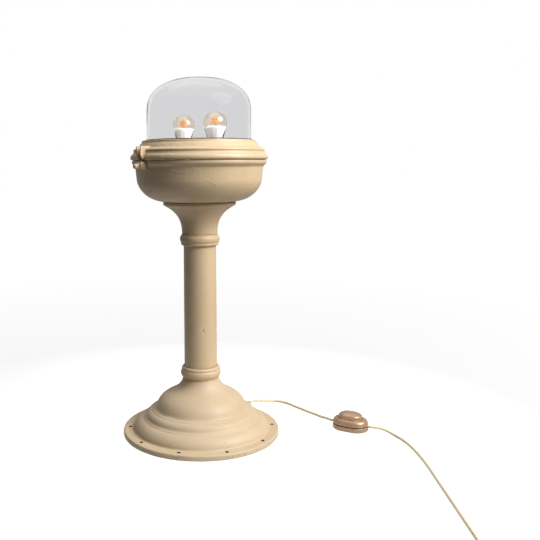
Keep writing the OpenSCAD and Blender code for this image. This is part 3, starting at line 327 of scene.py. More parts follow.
def eased(name, node, width, material=None):
    """Copies a node with every hard edge rounded."""
    piece = add_object(name, copied(name, [node]))
    modifier(piece, "BEVEL", width=width / MM, segments=EDGE_SEGMENTS, limit_method="ANGLE",
             angle_limit=EDGE_ANGLE, use_clamp_overlap=True)
    mesh = baked(piece)
    smooth(mesh)
    shape = bmesh.new()
    shape.from_mesh(mesh)
    for edge in shape.edges:
        if edge.is_manifold and edge.calc_face_angle() > SHARP_ANGLE:
            edge.smooth = False
    shape.to_mesh(mesh)
    shape.free()
    stand_for(piece, [node], material)


def tube(path, radius, sides):
    """Points, faces and UVs of a closed tube. The UVs are metres along it and turns round it."""
    path = [Vector(p) for p in path]
    ends = zip(path[:1] + path[:-1], path[1:] + path[-1:])
    ways = [(after - before).normalized() for before, after in ends]
    across = ways[0].orthogonal().normalized()
    along = lengths_along(path)
    points, faces, uv = [], [], []
    for point, way in zip(path, ways):
        across = (across - way * across.dot(way)).normalized()
        other = way.cross(across)
        for k in range(sides):
            a = 2 * math.pi * k / sides
            points.append(point + radius * (math.cos(a) * across + math.sin(a) * other))
    for i in range(len(path) - 1):
        for k in range(sides):
            m = (k + 1) % sides
            faces.append((i * sides + k, i * sides + m, (i + 1) * sides + m, (i + 1) * sides + k))
            uv += [(along[i], k / sides), (along[i], (k + 1) / sides),
                   (along[i + 1], (k + 1) / sides), (along[i + 1], k / sides)]
    last = (len(path) - 1) * sides
    faces.append(tuple(range(sides - 1, -1, -1)))
    faces.append(tuple(last + k for k in range(sides)))
    uv += [(0, 0)] * sides + [(along[-1], 0)] * sides
    return points, faces, uv


def revolve(profile, segments, x=0.0, wave=None):
    """Points and faces of a closed outline of (radius, height) points turned about a line at x.

    A point on that line is one vertex. wave(angle, r, z) is the radius in place of r."""
    on_axis = 1e-7
    points, rings, faces = [], [], []
    for r, z in profile:
        if r < on_axis:
            rings.append([len(points)] * segments)
            points.append((x, 0, z))
        else:
            rings.append([len(points) + k for k in range(segments)])
            for k in range(segments):
                a = 2 * math.pi * k / segments
                here = wave(a, r, z) if wave else r
                points.append((x + here * math.cos(a), here * math.sin(a), z))
    for low, high in zip(rings, rings[1:] + rings[:1]):
        if low[0] == low[1] and high[0] == high[1]:
            continue
        for k in range(segments):
            m = (k + 1) % segments
            faces.append(tuple(dict.fromkeys([low[k], low[m], high[m], high[k]])))
    return points, faces


# Materials

class Nodes:
    """A node tree, with a short call for each kind used here."""

    def __init__(self, tree):
        self.tree = tree

    def add(self, kind, inputs=(), **settings):
        """A node with its settings, then the values or links of its inputs."""
        node = self.tree.nodes.new(kind)
        for key, value in settings.items():
            setattr(node, key, value)
        for key, value in dict(inputs).items():
            self.put(node.inputs[key], value)
        return node

    def put(self, socket, value):
        if isinstance(value, bpy.types.NodeSocket):
            self.tree.links.new(value, socket)
        else:
            socket.default_value = value

    def math(self, operation, a, b=0.0):
        return self.add("ShaderNodeMath", {0: a, 1: b}, operation=operation).outputs[0]

    def seen(self):
        """1 to rays from the camera and through glass, less to those off gloss, 0 to the rest."""
        rays = self.add("ShaderNodeLightPath").outputs
        straight = self.math("MAXIMUM", rays["Is Camera Ray"], rays["Is Transmission Ray"])
        gloss = self.math("MULTIPLY", rays["Is Glossy Ray"], SEEN_IN_GLOSS)
        return self.math("MAXIMUM", straight, gloss)


class Graph(Nodes):
    """The node tree of a new material."""

    def __init__(self, name):
        self.material = bpy.data.materials.new(name)
        self.material.use_nodes = True
        super().__init__(self.material.node_tree)
        self.surface = self.tree.nodes["Principled BSDF"]
        self.place = self.add("ShaderNodeTexCoord").outputs["Object"]

    def set(self, **values):
        """Values or links for the inputs of the main shader."""
        for key, value in values.items():
            self.put(self.surface.inputs[key.replace("_", " ")], value)

    def noise(self, scale, detail=3, rough=0.55):
        """Cloudy noise from 0 to 1, finer with a larger scale."""
        inputs = {"Vector": self.place, "Scale": scale, "Detail": detail, "Roughness": rough}
        return self.add("ShaderNodeTexNoise", inputs).outputs["Fac"]

    def range(self, value, low, high, out_low=0.0, out_high=1.0):
        """Spreads low to high over the new range, and cuts off what is beyond."""
        inputs = {"Value": value, "From Min": low, "From Max": high,
                  "To Min": out_low, "To Max": out_high}
        return self.add("ShaderNodeMapRange", inputs, clamp=True).outputs["Result"]

    def patches(self, scale, low, high, out_low=0.0, out_high=1.0, detail=3, rough=0.55):
        """Noise whose values from low to high are spread over the new range."""
        return self.range(self.noise(scale, detail, rough), low, high, out_low, out_high)

    def dots(self, scale, inner, outer):
        """1 at the middle of each of many cells and 0 outside it, both as shares of a cell."""
        cells = self.add("ShaderNodeTexVoronoi", {"Vector": self.place, "Scale": scale})
        return self.range(cells.outputs["Distance"], inner, outer, 1, 0)

    def spot(self, centre, radius, soft):
        """1 within a radius of a place, falling to 0 over a share of it."""
        away = self.add("ShaderNodeVectorMath", {0: self.place, 1: centre}, operation="DISTANCE")
        return self.range(away.outputs["Value"], radius * (1 - soft), radius * (1 + soft), 1, 0)

    def hollow(self, distance, alone):
        """0 in the open and 1 deep in a crevice, of this piece alone or of all."""
        shut, free = 0.35, 0.95
        node = self.add("ShaderNodeAmbientOcclusion", {"Distance": distance}, samples=8,
                        only_local=alone)
        return self.range(node.outputs["AO"], shut, free, 1, 0)

    def mix(self, factor, a, b):
        """The colour a where the factor is 0 and b where it is 1."""
        node = self.add("ShaderNodeMix", {"Factor": factor}, data_type="RGBA")
        colours = [s for s in node.inputs if s.type == "RGBA"]
        for socket, value in zip(colours, (a, b)):
            self.put(socket, value if isinstance(value, bpy.types.NodeSocket) else (*value, 1))
        return [s for s in node.outputs if s.type == "RGBA"][0]

    def bump(self, height, distance, strength, under=None):
        """A relief as deep as the distance in metres, over the one under it."""
        node = self.add("ShaderNodeBump",
                        {"Height": height, "Distance": distance, "Strength": strength})
        if under is not None:
            self.put(node.inputs["Normal"], under)
        return node.outputs["Normal"]


PAINT_LIGHT = (0.78, 0.60, 0.38)
PAINT_MID = (0.75, 0.555, 0.335)
PAINT_DARK = (0.66, 0.465, 0.25)
# Dark brown of soiling in the pores, and of painted shade in the crevices
GRIME_AND_SHADE = (0.11, 0.072, 0.036)
BARE_IRON = (0.055, 0.036, 0.022)
BLOOM = (0.74, 0.63, 0.49)
UNLIT = (0.006, 0.004, 0.003)
STAIN_SHARE = 0.45


def enamel(name, grime_and_shade, chips=(), stains=(), shaded_holes=(), bloom=0.0, reach=0.007, alone=False,
           shine=0.7):
    """Thick satin enamel, yellowed in patches, with chips down to the dark iron, and with crevices
    darkened by soiling and painted shade.

    chips, stains and shaded holes are (angle, radius, height, size) about the lamp's axis, in
    degrees and millimetres; inside each hole the paint is near black, painted shade. The crevice
    share darkens the crevices with soiling and painted shade, bloom is the share of a chalky bloom,
    reach is the size of a crevice, of this piece alone or of all, and shine is the level of the
    gloss."""
    g = Graph(name)
    # Large and small patches of age, then the bloom
    tone = g.mix(g.patches(7, 0.3, 0.7, detail=4, rough=0.6), PAINT_DARK, PAINT_LIGHT)
    tone = g.mix(g.patches(30, 0.4, 0.7, 0.15, 0.75), tone, PAINT_MID)
    tone = g.mix(g.patches(11, 0.3, 0.7, 0.6 * bloom, bloom), tone, BLOOM)
    # Dirt in the pores, and crevices darkened by soiling and by painted shade
    pores = g.math("MULTIPLY", g.dots(330, 0.0, 0.12), g.patches(55, 0.5, 0.62, detail=2))
    tone = g.mix(g.math("MULTIPLY", pores, 0.45), tone, GRIME_AND_SHADE)
    dirt_and_shade = g.patches(48, 0.3, 0.75, 0.4 * grime_and_shade, grime_and_shade, detail=4)
    tone = g.mix(g.math("MULTIPLY", g.hollow(reach, alone), dirt_and_shade), tone, GRIME_AND_SHADE)
    # Small chips anywhere, and the larger ones of the photograph with torn edges
    bare = g.math("MULTIPLY", g.dots(105, 0.055, 0.08), g.patches(15, 0.64, 0.67, detail=2))
    for places, strength in ((chips, 1.0), (stains, STAIN_SHARE)):
        for *place, size in places:
            spot = g.spot(tuple(on_lamp(*place)), size / MM, 0.35)
            ragged = g.math("MULTIPLY", spot, g.patches(700, 0.38, 0.46, 0, strength))
            bare = g.math("MAXIMUM", bare, ragged)
    tone = g.mix(g.math("MULTIPLY", bare, 0.9), tone, BARE_IRON)
    # Near black inside each bolt hole: painted shade
    for *place, size in shaded_holes:
        tone = g.mix(g.spot(tuple(on_lamp(*place)), size / MM, 0.08), tone, UNLIT)
    # Thick paint over cast grain, sunk where it is chipped
    skin = g.bump(g.noise(130, detail=2), 0.0003, 0.5)
    skin = g.bump(g.noise(520, rough=0.6), 0.00008, 0.6, skin)
    skin = g.bump(g.math("SUBTRACT", 1.0, g.math("MAXIMUM", bare, pores)), 0.0003, 0.5, skin)
    g.set(Base_Color=tone, Roughness=g.patches(40, 0.3, 0.7, 0.42, 0.56), Normal=skin,
          Specular_IOR_Level=shine)
    return g.material


def clear_glass(name, low, high, edge, roughness, waves, ior, gloss):
    """Glass tinted low beneath the edge height and high above it. Lamps shine through it."""
    below, above = 0.001, 0.003
    g = Graph(name)
    parts = g.add("ShaderNodeSeparateXYZ", {"Vector": g.place})
    tint = g.mix(g.range(parts.outputs["Z"], edge - below, edge + above), low, high)
    g.set(Base_Color=tint, Roughness=roughness, IOR=ior, Transmission_Weight=1.0,
          Specular_Tint=(gloss, gloss, gloss, 1),
          Normal=g.bump(g.noise(18, detail=2), waves, 0.5))
    clear = g.add("ShaderNodeBsdfTransparent", {"Color": CLEAR})
    shadow = g.add("ShaderNodeLightPath").outputs["Is Shadow Ray"]
    choice = g.add("ShaderNodeMixShader", {0: shadow, 1: g.surface.outputs[0], 2: clear.outputs[0]})
    g.put(g.tree.nodes["Material Output"].inputs["Surface"], choice.outputs[0])
    return g.material


def metal(name, colour, dark, roughness, scale=180):
    """Plain metal, a little uneven in tone and gloss."""
    g = Graph(name)
    g.set(Base_Color=g.mix(g.patches(scale, 0.3, 0.75, detail=4, rough=0.6), dark, colour),
          Roughness=g.patches(scale * 2, 0.3, 0.7, roughness * 0.8, roughness * 1.3),
          Metallic=1.0, Normal=g.bump(g.noise(scale * 5, detail=2), 0.00004, 0.6))
    return g.material


def dull(name, colour, dark, roughness, scale=300, grain=0.00008):
    """Rubber, moulded plastic or fabric: a fine grain and a faint change of tone."""
    g = Graph(name)
    g.set(Base_Color=g.mix(g.patches(scale / 6, 0.35, 0.7), dark, colour),
          Roughness=g.patches(scale, 0.3, 0.7, roughness * 0.85, roughness * 1.15),
          Normal=g.bump(g.noise(scale * 3), grain, 0.7))
    return g.material


def opal_plastic():
    """White plastic that lets light through, so that its shaded side glows too."""
    g = Graph("bulb_white")
    g.set(Base_Color=g.mix(g.patches(35, 0.35, 0.7), (0.94, 0.91, 0.88), (0.97, 0.955, 0.94)),
          Roughness=0.3, Subsurface_Weight=0.8, Subsurface_Scale=0.02,
          Subsurface_Radius=(1.0, 0.95, 0.9), Normal=g.bump(g.noise(600, detail=2), 0.00002, 0.7))
    return g.material


def bronze_plastic():
    """Satin metallic plastic: fine flakes under a thin clear coat."""
    g = Graph("bronze_plastic")
    flakes = g.noise(2600, detail=2)
    tone = g.mix(g.range(flakes, 0.4, 0.65), (0.38, 0.23, 0.125), (0.64, 0.43, 0.27))
    g.set(Base_Color=tone, Metallic=0.45, Roughness=g.patches(220, 0.3, 0.7, 0.30, 0.38),
          Normal=g.bump(flakes, 0.00003, 0.5), Coat_Weight=0.3, Coat_Roughness=0.3)
    return g.material


def gold_cord():
    """Clear sleeve over two twisted cores of gold coloured strands."""
    g = Graph("gold_cord")
    uv = g.add("ShaderNodeUVMap", uv_map="UVMap").outputs["UV"]
    along, turn = g.add("ShaderNodeSeparateXYZ", {"Vector": uv}).outputs[:2]

    def twisted(per_metre, starts, strength):
        """Stripes that wind round the cord."""
        wound = g.math("ADD", g.math("MULTIPLY", along, 2 * math.pi * per_metre),
                       g.math("MULTIPLY", turn, 2 * math.pi * starts))
        return g.range(g.math("SINE", wound), -1, 1, 0.0, strength)

    cores = twisted(per_metre=40, starts=2, strength=1.0)
    strands = twisted(per_metre=120, starts=-14, strength=0.4)
    tone = g.mix(cores, (0.91, 0.75, 0.38), (0.95, 0.82, 0.47))
    g.set(Base_Color=g.mix(strands, tone, (0.96, 0.87, 0.60)),
          Roughness=g.range(cores, 0, 1, 0.42, 0.34), Normal=g.bump(cores, 0.00008, 0.35),
          Coat_Weight=0.7, Coat_Roughness=0.12)
    return g.material


# Camera, stage and lights

def make_camera():
    data = bpy.data.cameras.new("camera")
    data.sensor_width = SENSOR_MM
    data.lens = SENSOR_MM * FOCAL_PX / IMAGE_PX
    data.shift_x = (IMAGE_PX / 2 - AXIS_PX) / IMAGE_PX
    data.shift_y = (HORIZON_PX - IMAGE_PX / 2) / IMAGE_PX
    camera = add_object("camera", data)
    place = Vector((math.sin(VIEW_TURN), -math.cos(VIEW_TURN), 0)) * VIEW_DISTANCE
    place.z = VIEW_HEIGHT
    turn = (Matrix.Rotation(VIEW_TURN, 4, "Z") @ Matrix.Rotation(math.pi / 2, 4, "X")
            @ Matrix.Rotation(VIEW_ROLL, 4, "Z"))
    camera.matrix_world = Matrix.Translation(place) @ turn
    bpy.context.scene.camera = camera


def make_stage():
    """A pale floor and a plain world, both white to the rays that are seen."""
    g = Graph("floor_white")
    away = g.add("ShaderNodeVectorMath", {0: g.place}, operation="LENGTH").outputs["Value"]
    level = g.range(away, SEEN_FROM, SEEN_TO, SEEN_NEAR, SEEN_FAR)
    g.set(Base_Color=g.mix(g.range(away, PAPER_END, DIM_FROM), (PAPER,) * 3, (DIM,) * 3),
          Roughness=0.9, Specular_IOR_Level=0.0, Emission_Color=WHITE,
          Emission_Strength=g.math("MULTIPLY", g.seen(), level))
    corners = [(x * FLOOR_HALF, y * FLOOR_HALF, 0) for x, y in ((-1, -1), (1, -1), (1, 1), (-1, 1))]
    mesh = new_mesh("floor", corners, [(0, 1, 2, 3)])
    mesh.materials.append(g.material)
    add_object("floor", mesh)

    world = bpy.data.worlds.new("world")
    bpy.context.scene.world = world
    world.use_nodes = True
    w = Nodes(world.node_tree)
    background = w.tree.nodes["Background"].inputs
    w.put(background["Strength"], w.math("MAXIMUM", w.seen(), WORLD_FILL))
    w.put(background["Color"], WHITE)
    bpy.context.scene.view_settings.view_transform = "Standard"


def add_light(name, right, away, up, size, power, aim):
    """A soft round light placed as seen from the camera, aimed at a point of the lamp."""
    data = bpy.data.lights.new(name, "AREA")
    data.shape = "DISK"
    data.size = size
    data.energy = power
    light = add_object(name, data)
    light.location = laid((right, away, up))
    light.rotation_euler = (Vector(aim) - light.location).to_track_quat("-Z", "Y").to_euler()


# Finishes. Places on the lamp are (angle, radius, height) in degrees and millimetres

BOWL_HOLE, BOWL_HOLE_EDGE = (-90.5, 113, 464.5), (-89.6, 111.5, 461.8)
BOWL_RUN_TOP = (-42.8, 123, 506.8)
POST_CHIP = (-26.6, 31.3, 198)
EDGE_CHIPS = [
    (-18.7, 148, 4.5), (-15.6, 148, 4.8), (-11.4, 148, 5.5), (-6.5, 148, 4), (4, 148, 6),
    (16, 147.5, 9.2), (-50, 148, 6.5), (-54, 148, 5),
]
HOLE_COUNT = 10
BOLT_HOLES = [(-90 + 360 / HOLE_COUNT * i, 136, 5, 5.6) for i in range(HOLE_COUNT)]
DOME_TINT_Z = 0.65
BULB_TINT_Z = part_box("bulb_cone_left")[1].z

FOOT_PAINT = enamel(
    "beige_enamel_foot", grime_and_shade=0.4, chips=[(*p, 0.9) for p in EDGE_CHIPS],
    stains=[(-25.8, 66.2, 73.9, 1.2), (-61.8, 128.1, 11.8, 1.2), (-24, 41.4, 90, 1.1)],
    shaded_holes=BOLT_HOLES, bloom=0.35, alone=True, shine=0.4)
POST_PAINT = enamel("beige_enamel_post", grime_and_shade=0.6, chips=[(*POST_CHIP, 1.6)],
                    stains=[(-21, 31.3, 193.5, 1.2)], shine=1.0)
BOWL_PAINT = enamel("beige_enamel_bowl", grime_and_shade=0.75,
                    chips=[(*BOWL_HOLE, 1.7), (*BOWL_HOLE_EDGE, 1.3)],
                    stains=[(*BOWL_RUN_TOP, 1.0)], shine=0.85)
# Ring and catch: crevices darkened strongly, painted shade in the cove and round the lug as well as
# soiling
RING_PAINT = enamel("beige_enamel_ring", grime_and_shade=0.95, reach=0.009, shine=0.85)
CATCH_PAINT = enamel("beige_enamel_catch", grime_and_shade=1.0, reach=0.012)
GLAND_PAINT = dull("rubber_painted_over", (0.70, 0.50, 0.28), (0.58, 0.40, 0.21), 0.45)

# One finish for each material slot of the record
FINISHES = {
    "enamel": enamel("beige_enamel", grime_and_shade=0.45),
    "steel": metal("steel", (0.62, 0.60, 0.57), (0.36, 0.34, 0.31), 0.32),
    "brass": metal("brass", (0.83, 0.62, 0.28), (0.55, 0.38, 0.16), 0.28),
    "seal_rubber": dull("seal_rubber", (0.028, 0.027, 0.026), (0.012, 0.012, 0.012), 0.6),
    "dome_glass": clear_glass("dome_glass", low=(0.81, 0.81, 0.82), high=(0.84, 0.84, 0.845),
                              edge=DOME_TINT_Z, roughness=0.02, waves=0.0003, ior=1.13, gloss=0.6),
    "bulb_glass": clear_glass("bulb_glass", low=(0.99, 0.985, 0.98), high=(0.995, 0.905, 0.79),
                              edge=BULB_TINT_Z, roughness=0.0, waves=0.00005, ior=1.6, gloss=1.0),
    "white_enamel": dull("white_enamel", (0.80, 0.79, 0.75), (0.71, 0.69, 0.63), 0.28,
                         scale=120, grain=0.00003),
    "porcelain": dull("porcelain", (0.82, 0.81, 0.77), (0.76, 0.74, 0.69), 0.15,
                      scale=90, grain=0.00002),
    "bulb_white": opal_plastic(),
    "filament_amber": dull("filament_amber", (0.95, 0.40, 0.03), (0.80, 0.26, 0.015), 0.35,
                           scale=900, grain=0.00002),
    "wire_sleeve": dull("wire_sleeve", (0.20, 0.09, 0.04), (0.14, 0.06, 0.03), 0.4,
                        scale=400, grain=0.00003),
    "gold_cord": gold_cord(),
    "bronze_plastic": bronze_plastic(),
    "tie_strap": dull("tie_strap", (0.025, 0.025, 0.026), (0.012, 0.012, 0.013), 0.9,
                      scale=900, grain=0.0003),
}
ENAMEL, BRONZE = FINISHES["enamel"], FINISHES["bronze_plastic"]

# Planes where the CAD cuts a casting in two, as (axis, place)
BELL_SPLIT = (2, 0.036)
BOWL_SPLIT = (2, 0.456)
LUG_SPLITS = ((0, -0.012), (0, 0.012))

# Marks are (route, width, depth), and one with a negative depth stands out
FOOT_MARKS = [
    ([(-67.2, 121.9, 23.4)], 1.3, -0.7), ([(-44.6, 107.5, 31.9)], 1.2, -0.6),
    ([(-17.1, 124.2, 20.8)], 1.2, -0.6), ([(-26.3, 105.5, 33.5)], 1.0, -0.5),
    ([(-58.5, 148, 9), (-57, 148, 5.5), (-55, 148, 3)], 0.9, 0.8),
    ([(-54.5, 147, 10), (-52.5, 148, 7), (-52.5, 148, 3.5)], 0.8, 0.7),
    ([(-43, 146, 10), (-39.5, 148, 8.2), (-36, 148, 6)], 0.8, 0.5),
] + [([chip], 0.9, 0.9) for chip in EDGE_CHIPS]
POST_MARKS = [([(-30, 31.3, 201.7), POST_CHIP, (-23.1, 31.3, 194)], 1.4, 0.45)]
BOWL_MARKS = [
    ([(-61.4, 122.4, 503.3), (-58.5, 122, 499.2), (-53.5, 121.8, 496.8), (-49.3, 121.8, 497.5),
      (-48, 122, 500)], 1.0, -0.6),
    ([BOWL_RUN_TOP, (-40.1, 122.2, 501.8), (-36.5, 122.2, 501.2)], 0.9, -0.5),
    ([(-33, 121, 484), (-26.9, 119.9, 479.8), (-22.5, 118.5, 474.8), (-23, 116.3, 469.6)],
     0.9, -0.35),
    ([BOWL_HOLE, BOWL_HOLE_EDGE], 1.5, 1.6),
    (all_round(127.8, 518.8), 1.6, -0.45),
]
RING_MARKS = [
    (all_round(127.2, 535.2), 1.8, 1.3),
    ([(-48, 131.5, 533), (-44, 132, 530), (-40, 131, 532.5)], 1.1, 0.6),
    ([(-36, 131, 533.5), (-33.5, 132, 529.5)], 1.0, 0.6),
    ([(-60, 131, 533), (-55, 132, 531)], 1.0, 0.5),
]
SWITCH_MARKS = [(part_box("switch_cover")[0].z, 0.9, 1.0)]

# name, nodes, finish, voxel, rounding, waves, grain, marks, seams
CASTINGS = [
    ("foot", ["base_casting", "base_bell"], FOOT_PAINT, 1.05, 5, (34, 0.6), (6, 0.16),
     FOOT_MARKS, [BELL_SPLIT]),
    ("lower_sleeve", ["lower_collar"], ENAMEL, 0.75, 4, (18, 0.25), (5, 0.12)),
    ("post", ["column_tube"], POST_PAINT, 1.1, 2, (30, 0.3), (5, 0.14), POST_MARKS),
    ("upper_sleeve", ["upper_collar"], ENAMEL, 0.75, 4, (18, 0.25), (5, 0.12)),
    ("trumpet", ["neck_casting"], ENAMEL, 0.9, 2, (30, 0.4), (5, 0.14)),
    ("bowl", ["bowl_floor", "bowl_casting"], BOWL_PAINT, 0.9, 2, (32, 0.5), (6, 0.16),
     BOWL_MARKS, [BOWL_SPLIT]),
    ("lid_ring", ["clamp_ring", "clamp_lug"], RING_PAINT, 0.7, 2, (13, 0.6), (4, 0.25),
     RING_MARKS, LUG_SPLITS),
    ("catch_bolt", ["swing_bolt"], CATCH_PAINT, 0.4, 2, (9, 0.2), (3, 0.1)),
    ("catch_rivet", ["catch_pin"], CATCH_PAINT, 0.35, 2, (9, 0.12), (3, 0.08)),
    ("foot_switch_base", ["switch_base"], BRONZE, 0.45, 2, (20, 0.06), (7, 0.03), SWITCH_MARKS),
    ("foot_switch_cover", ["switch_cover"], BRONZE, 0.45, 2, (20, 0.06), (7, 0.03), SWITCH_MARKS),
]
# name, node, width of the rounding, finish where it isn't the slot's
EASED = [
    ("knuckle_pin", "hinge_pin", 0.5), ("tray", "lamp_tray", 0.5),
    ("tray_bolts", "tray_screws", 0.4), ("socket_left", "lampholder_left", 0.8),
    ("socket_right", "lampholder_right", 0.8), ("socket_bolts", "holder_screws", 0.3),
    ("tie_rod_nuts", "tie_nuts", 0.6), ("tie_rod_washers", "tie_washers", 0.4),
    ("wire_block", "terminal_block", 0.6), ("glass_retainer", "retaining_ring", 0.4),
    ("gland_nut", "relief_nut", 0.5), ("foot_switch_button", "switch_button", 0.7),
    ("coil_band", "coil_tie", 0.15), ("plug_shell", "plug_body", 1.0),
    ("plug_prongs", "plug_pins", 0.3), ("gland", "cord_relief", 0.35, GLAND_PAINT),
]

# Dome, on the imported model's own levels
DOME_LOW, DOME_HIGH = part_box("glass_dome")
RING_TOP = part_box("clamp_ring")[1].z
GLASS_R = 0.1002
GLASS_WALL = 0.005
GLASS_FLANGE_R = DOME_HIGH.x
GLASS_FLANGE_T = 0.006
GLASS_EDGE = 0.001
GLASS_CHAMFER = 0.0004
# Steps out and up from the flange to the wall, and the height at which the wall starts
GLASS_FILLET = ((0.0014, 0), (0.0004, 0.0003))
GLASS_FILLET_TOP = 0.0012
GLASS_SEGMENTS = 192
SPRING_SHARE = 0.45
SQUARENESS = 0.83
DOME_STEPS = 40
END_GAPS = (0, 0.0003, 0.0008, 0.002)
# height, waves round the dome and their twist for each metre up
GLASS_WAVES = ((0.0003, 3, 40), (0.0002, 5, -55))
CALM_R = 0.03

# Bulbs. The rises and drops are counted from the boxes of their pieces
BULB_SKIN = 0.0008
BULB_SEGMENTS = 96
SHOULDER = math.radians(-16)
BALL_STEPS = 40
BULB_FOOT_GAP = 0.0012
SWELL_R, SWELL_RISE = 0.0146, 0.0024
SWELL_STEPS = 8
CAP_R = 0.007
CAP_SEGMENTS = 64
CAP_CONTACT_R = 0.003
CAP_TAPER, CAP_TAPER_RISE = 0.002, 0.0024
CAP_LIP, CAP_LIP_T = 0.0009, 0.001
THREAD_PITCH = 0.00282
THREAD_DEPTH = 0.0006
THREAD_FOOT, THREAD_HEAD = 0.004, 0.0035
THREAD_STEPS = 60
CONE_SEGMENTS = 168
CONE_FOOT = 0.001
CONE_WIDE_R, CONE_WIDE_RISE = 0.013, 0.003
CONE_WIDE_STEPS = 6
CONE_SHARES = [i / 8 for i in range(1, 8)] + [0.96, 0.985, 1]
RIM_DROP = 0.007
RIM_ROUND = ((-0.0003, 0.0002), (-0.0007, 0.0004))
CROWN_STEPS = 10
FLUTES = 14
FLUTE_DEPTH = 0.0004
FLUTE_FOOT, FLUTE_HEAD = 0.004, 0.003
STRAND_R = 0.0012
STRAND_SIDES = 12
STRAND_STEP = 0.0006
LOOPS = 2.25
LOOP_STEPS = 48
LOOP_START = 0.6
LOOP_FOOT, LOOP_HEAD = 0.0035, 0.0018
LOOP_END = 0.0006
# The part of a half wave that the loops' width follows
LOOP_SWELL_FROM, LOOP_SWELL_SPAN = 0.12, 0.76
FILAMENT_POST_R, FILAMENT_POST_END_R, FILAMENT_POST_TIP = 0.0007, 0.0004, 0.0005
FILAMENT_POST_SEGMENTS = 20


# Pieces

def lifted(route):
    """A route with the height of a cord on the floor for each point that has none."""
    return [point if len(point) == 3 else (*point, CORD_R) for point in route]


def from_switch(x):
    """A place of the cord on the switch's long axis, in the cord's frame."""
    return (SWITCH_AT[0] + x * math.cos(SWITCH_YAW), SWITCH_AT[1] + x * math.sin(SWITCH_YAW),
            SWITCH_CORD_Z)


def coil_point(t):
    """A place of the cord after t turns of the coil."""
    half = COIL_TURNS / 2
    inward = half - abs(t - half)
    climb = min(1, max(0, (t - half + COIL_CLIMB_TURNS / 2) / COIL_CLIMB_TURNS))
    r = COIL_OUT_R - COIL_PITCH * inward
    angle = -2 * math.pi * t
    return (COIL_AT[0] + r * math.cos(angle), COIL_AT[1] + r * math.sin(angle),
            COIL_Z + COIL_RISE * climb * climb * (3 - 2 * climb))


def make_cords():
    """The cord's two pieces, each with the path of its middle."""
    tip = (EXIT_R * math.cos(EXIT_ANGLE), EXIT_R * math.sin(EXIT_ANGLE), EXIT_Z)
    to_switch = lifted(ROUTE_TO_SWITCH)
    to_switch += [from_switch(-SWITCH_END - SWITCH_LIP), from_switch(-SWITCH_END + CORD_IN_SWITCH)]
    x, y = COIL_AT[0] + COIL_OUT_R, COIL_AT[1]
    to_plug = [from_switch(SWITCH_END - CORD_IN_SWITCH), from_switch(SWITCH_END + SWITCH_LIP)]
    to_plug += lifted(ROUTE_TO_COIL)
    to_plug += [(x, y + CORD_D + COIL_LEAD, COIL_Z), (x, y + CORD_D, COIL_Z)]
    to_plug += [coil_point(i / COIL_STEPS) for i in range(COIL_STEPS * COIL_TURNS + 1)]
    to_plug += [(x, y - TAIL_HIGH * TAIL, COIL_Z + COIL_RISE),
                (x, y - TAIL_LOW * TAIL, PLUG_Z + TAIL_LOW_RISE),
                (x, y - TAIL + CORD_D, PLUG_Z), (x, y - TAIL, PLUG_Z)]
    made = []
    for name, points, nodes in (
            ("flex_to_switch", [tip] + [laid(p) for p in to_switch], ["cord_to_switch"]),
            ("flex_to_plug", [laid(p) for p in to_plug], ["cord_to_coil", "cord_coil"])):
        path = curve_through(points, CORD_STEP)
        *shape, uv = tube(path, CORD_R, CORD_SIDES)
        made.append((made_of(name, shape, nodes, uv), path))
    return made


def make_spring():
    """The return spring of the switch, copied from its node and shaded smooth."""
    mesh = copied("return_spring", ["switch_spring"])
    smooth(mesh)
    spring = stand_for(add_object("return_spring", mesh), ["switch_spring"])
    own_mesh(spring)


def upright(r, low, high):
    """Points up a straight wall, close together near its ends so that both ends shade cleanly."""
    length = high - low
    shares = [gap / length for gap in END_GAPS]
    shares += [0.1 + 0.8 * i / 6 for i in range(7)] + [1 - s for s in shares[::-1]]
    return [(r, low + s * length) for s in shares]


def dome_line(r, spring, top):
    """A squarish quarter of an oval, from the springing line to the top."""
    angles = [math.pi / 2 * i / DOME_STEPS for i in range(DOME_STEPS)]
    return [(r * math.cos(a) ** SQUARENESS, spring + (top - spring) * math.sin(a) ** SQUARENESS)
            for a in angles] + [(0, top)]


def make_dome():
    """Pressed glass: a turned shell whose inside is slightly uneven."""
    low, top = DOME_LOW.z, DOME_HIGH.z
    spring = RING_TOP + SPRING_SHARE * (top - RING_TOP)
    inner_r = GLASS_R - GLASS_WALL
    inner = upright(inner_r, low, spring)[:-1] + dome_line(inner_r, spring, top - GLASS_WALL)
    shelf = low + GLASS_FLANGE_T
    profile = [
        (inner_r + GLASS_CHAMFER, low), (GLASS_FLANGE_R - GLASS_EDGE, low),
        (GLASS_FLANGE_R, low + GLASS_EDGE), (GLASS_FLANGE_R, shelf - GLASS_EDGE),
        (GLASS_FLANGE_R - GLASS_EDGE, shelf)]
    profile += [(GLASS_R + out, shelf + up) for out, up in GLASS_FILLET]
    profile += upright(GLASS_R, shelf + GLASS_FILLET_TOP, spring)[:-1]
    profile += dome_line(GLASS_R, spring, top) + inner[::-1]

    def uneven(a, r, z):
        inside = r < GLASS_R - 0.8 * GLASS_WALL or z > top - 1.2 * GLASS_WALL
        waves = sum(height * math.sin(count * a + twist * z)
                    for height, count, twist in GLASS_WAVES)
        return r + waves * inside * min(1, r / CALM_R)

    made_of("dome", revolve(profile, GLASS_SEGMENTS, wave=uneven), ["glass_dome"])


def ball_line(r, centre):
    """A ball's outline from the shoulder up to its top."""
    angles = [SHOULDER + (math.pi / 2 - SHOULDER) * i / BALL_STEPS for i in range(BALL_STEPS)]
    return [(r * math.cos(a), centre + r * math.sin(a)) for a in angles] + [(0, centre + r)]


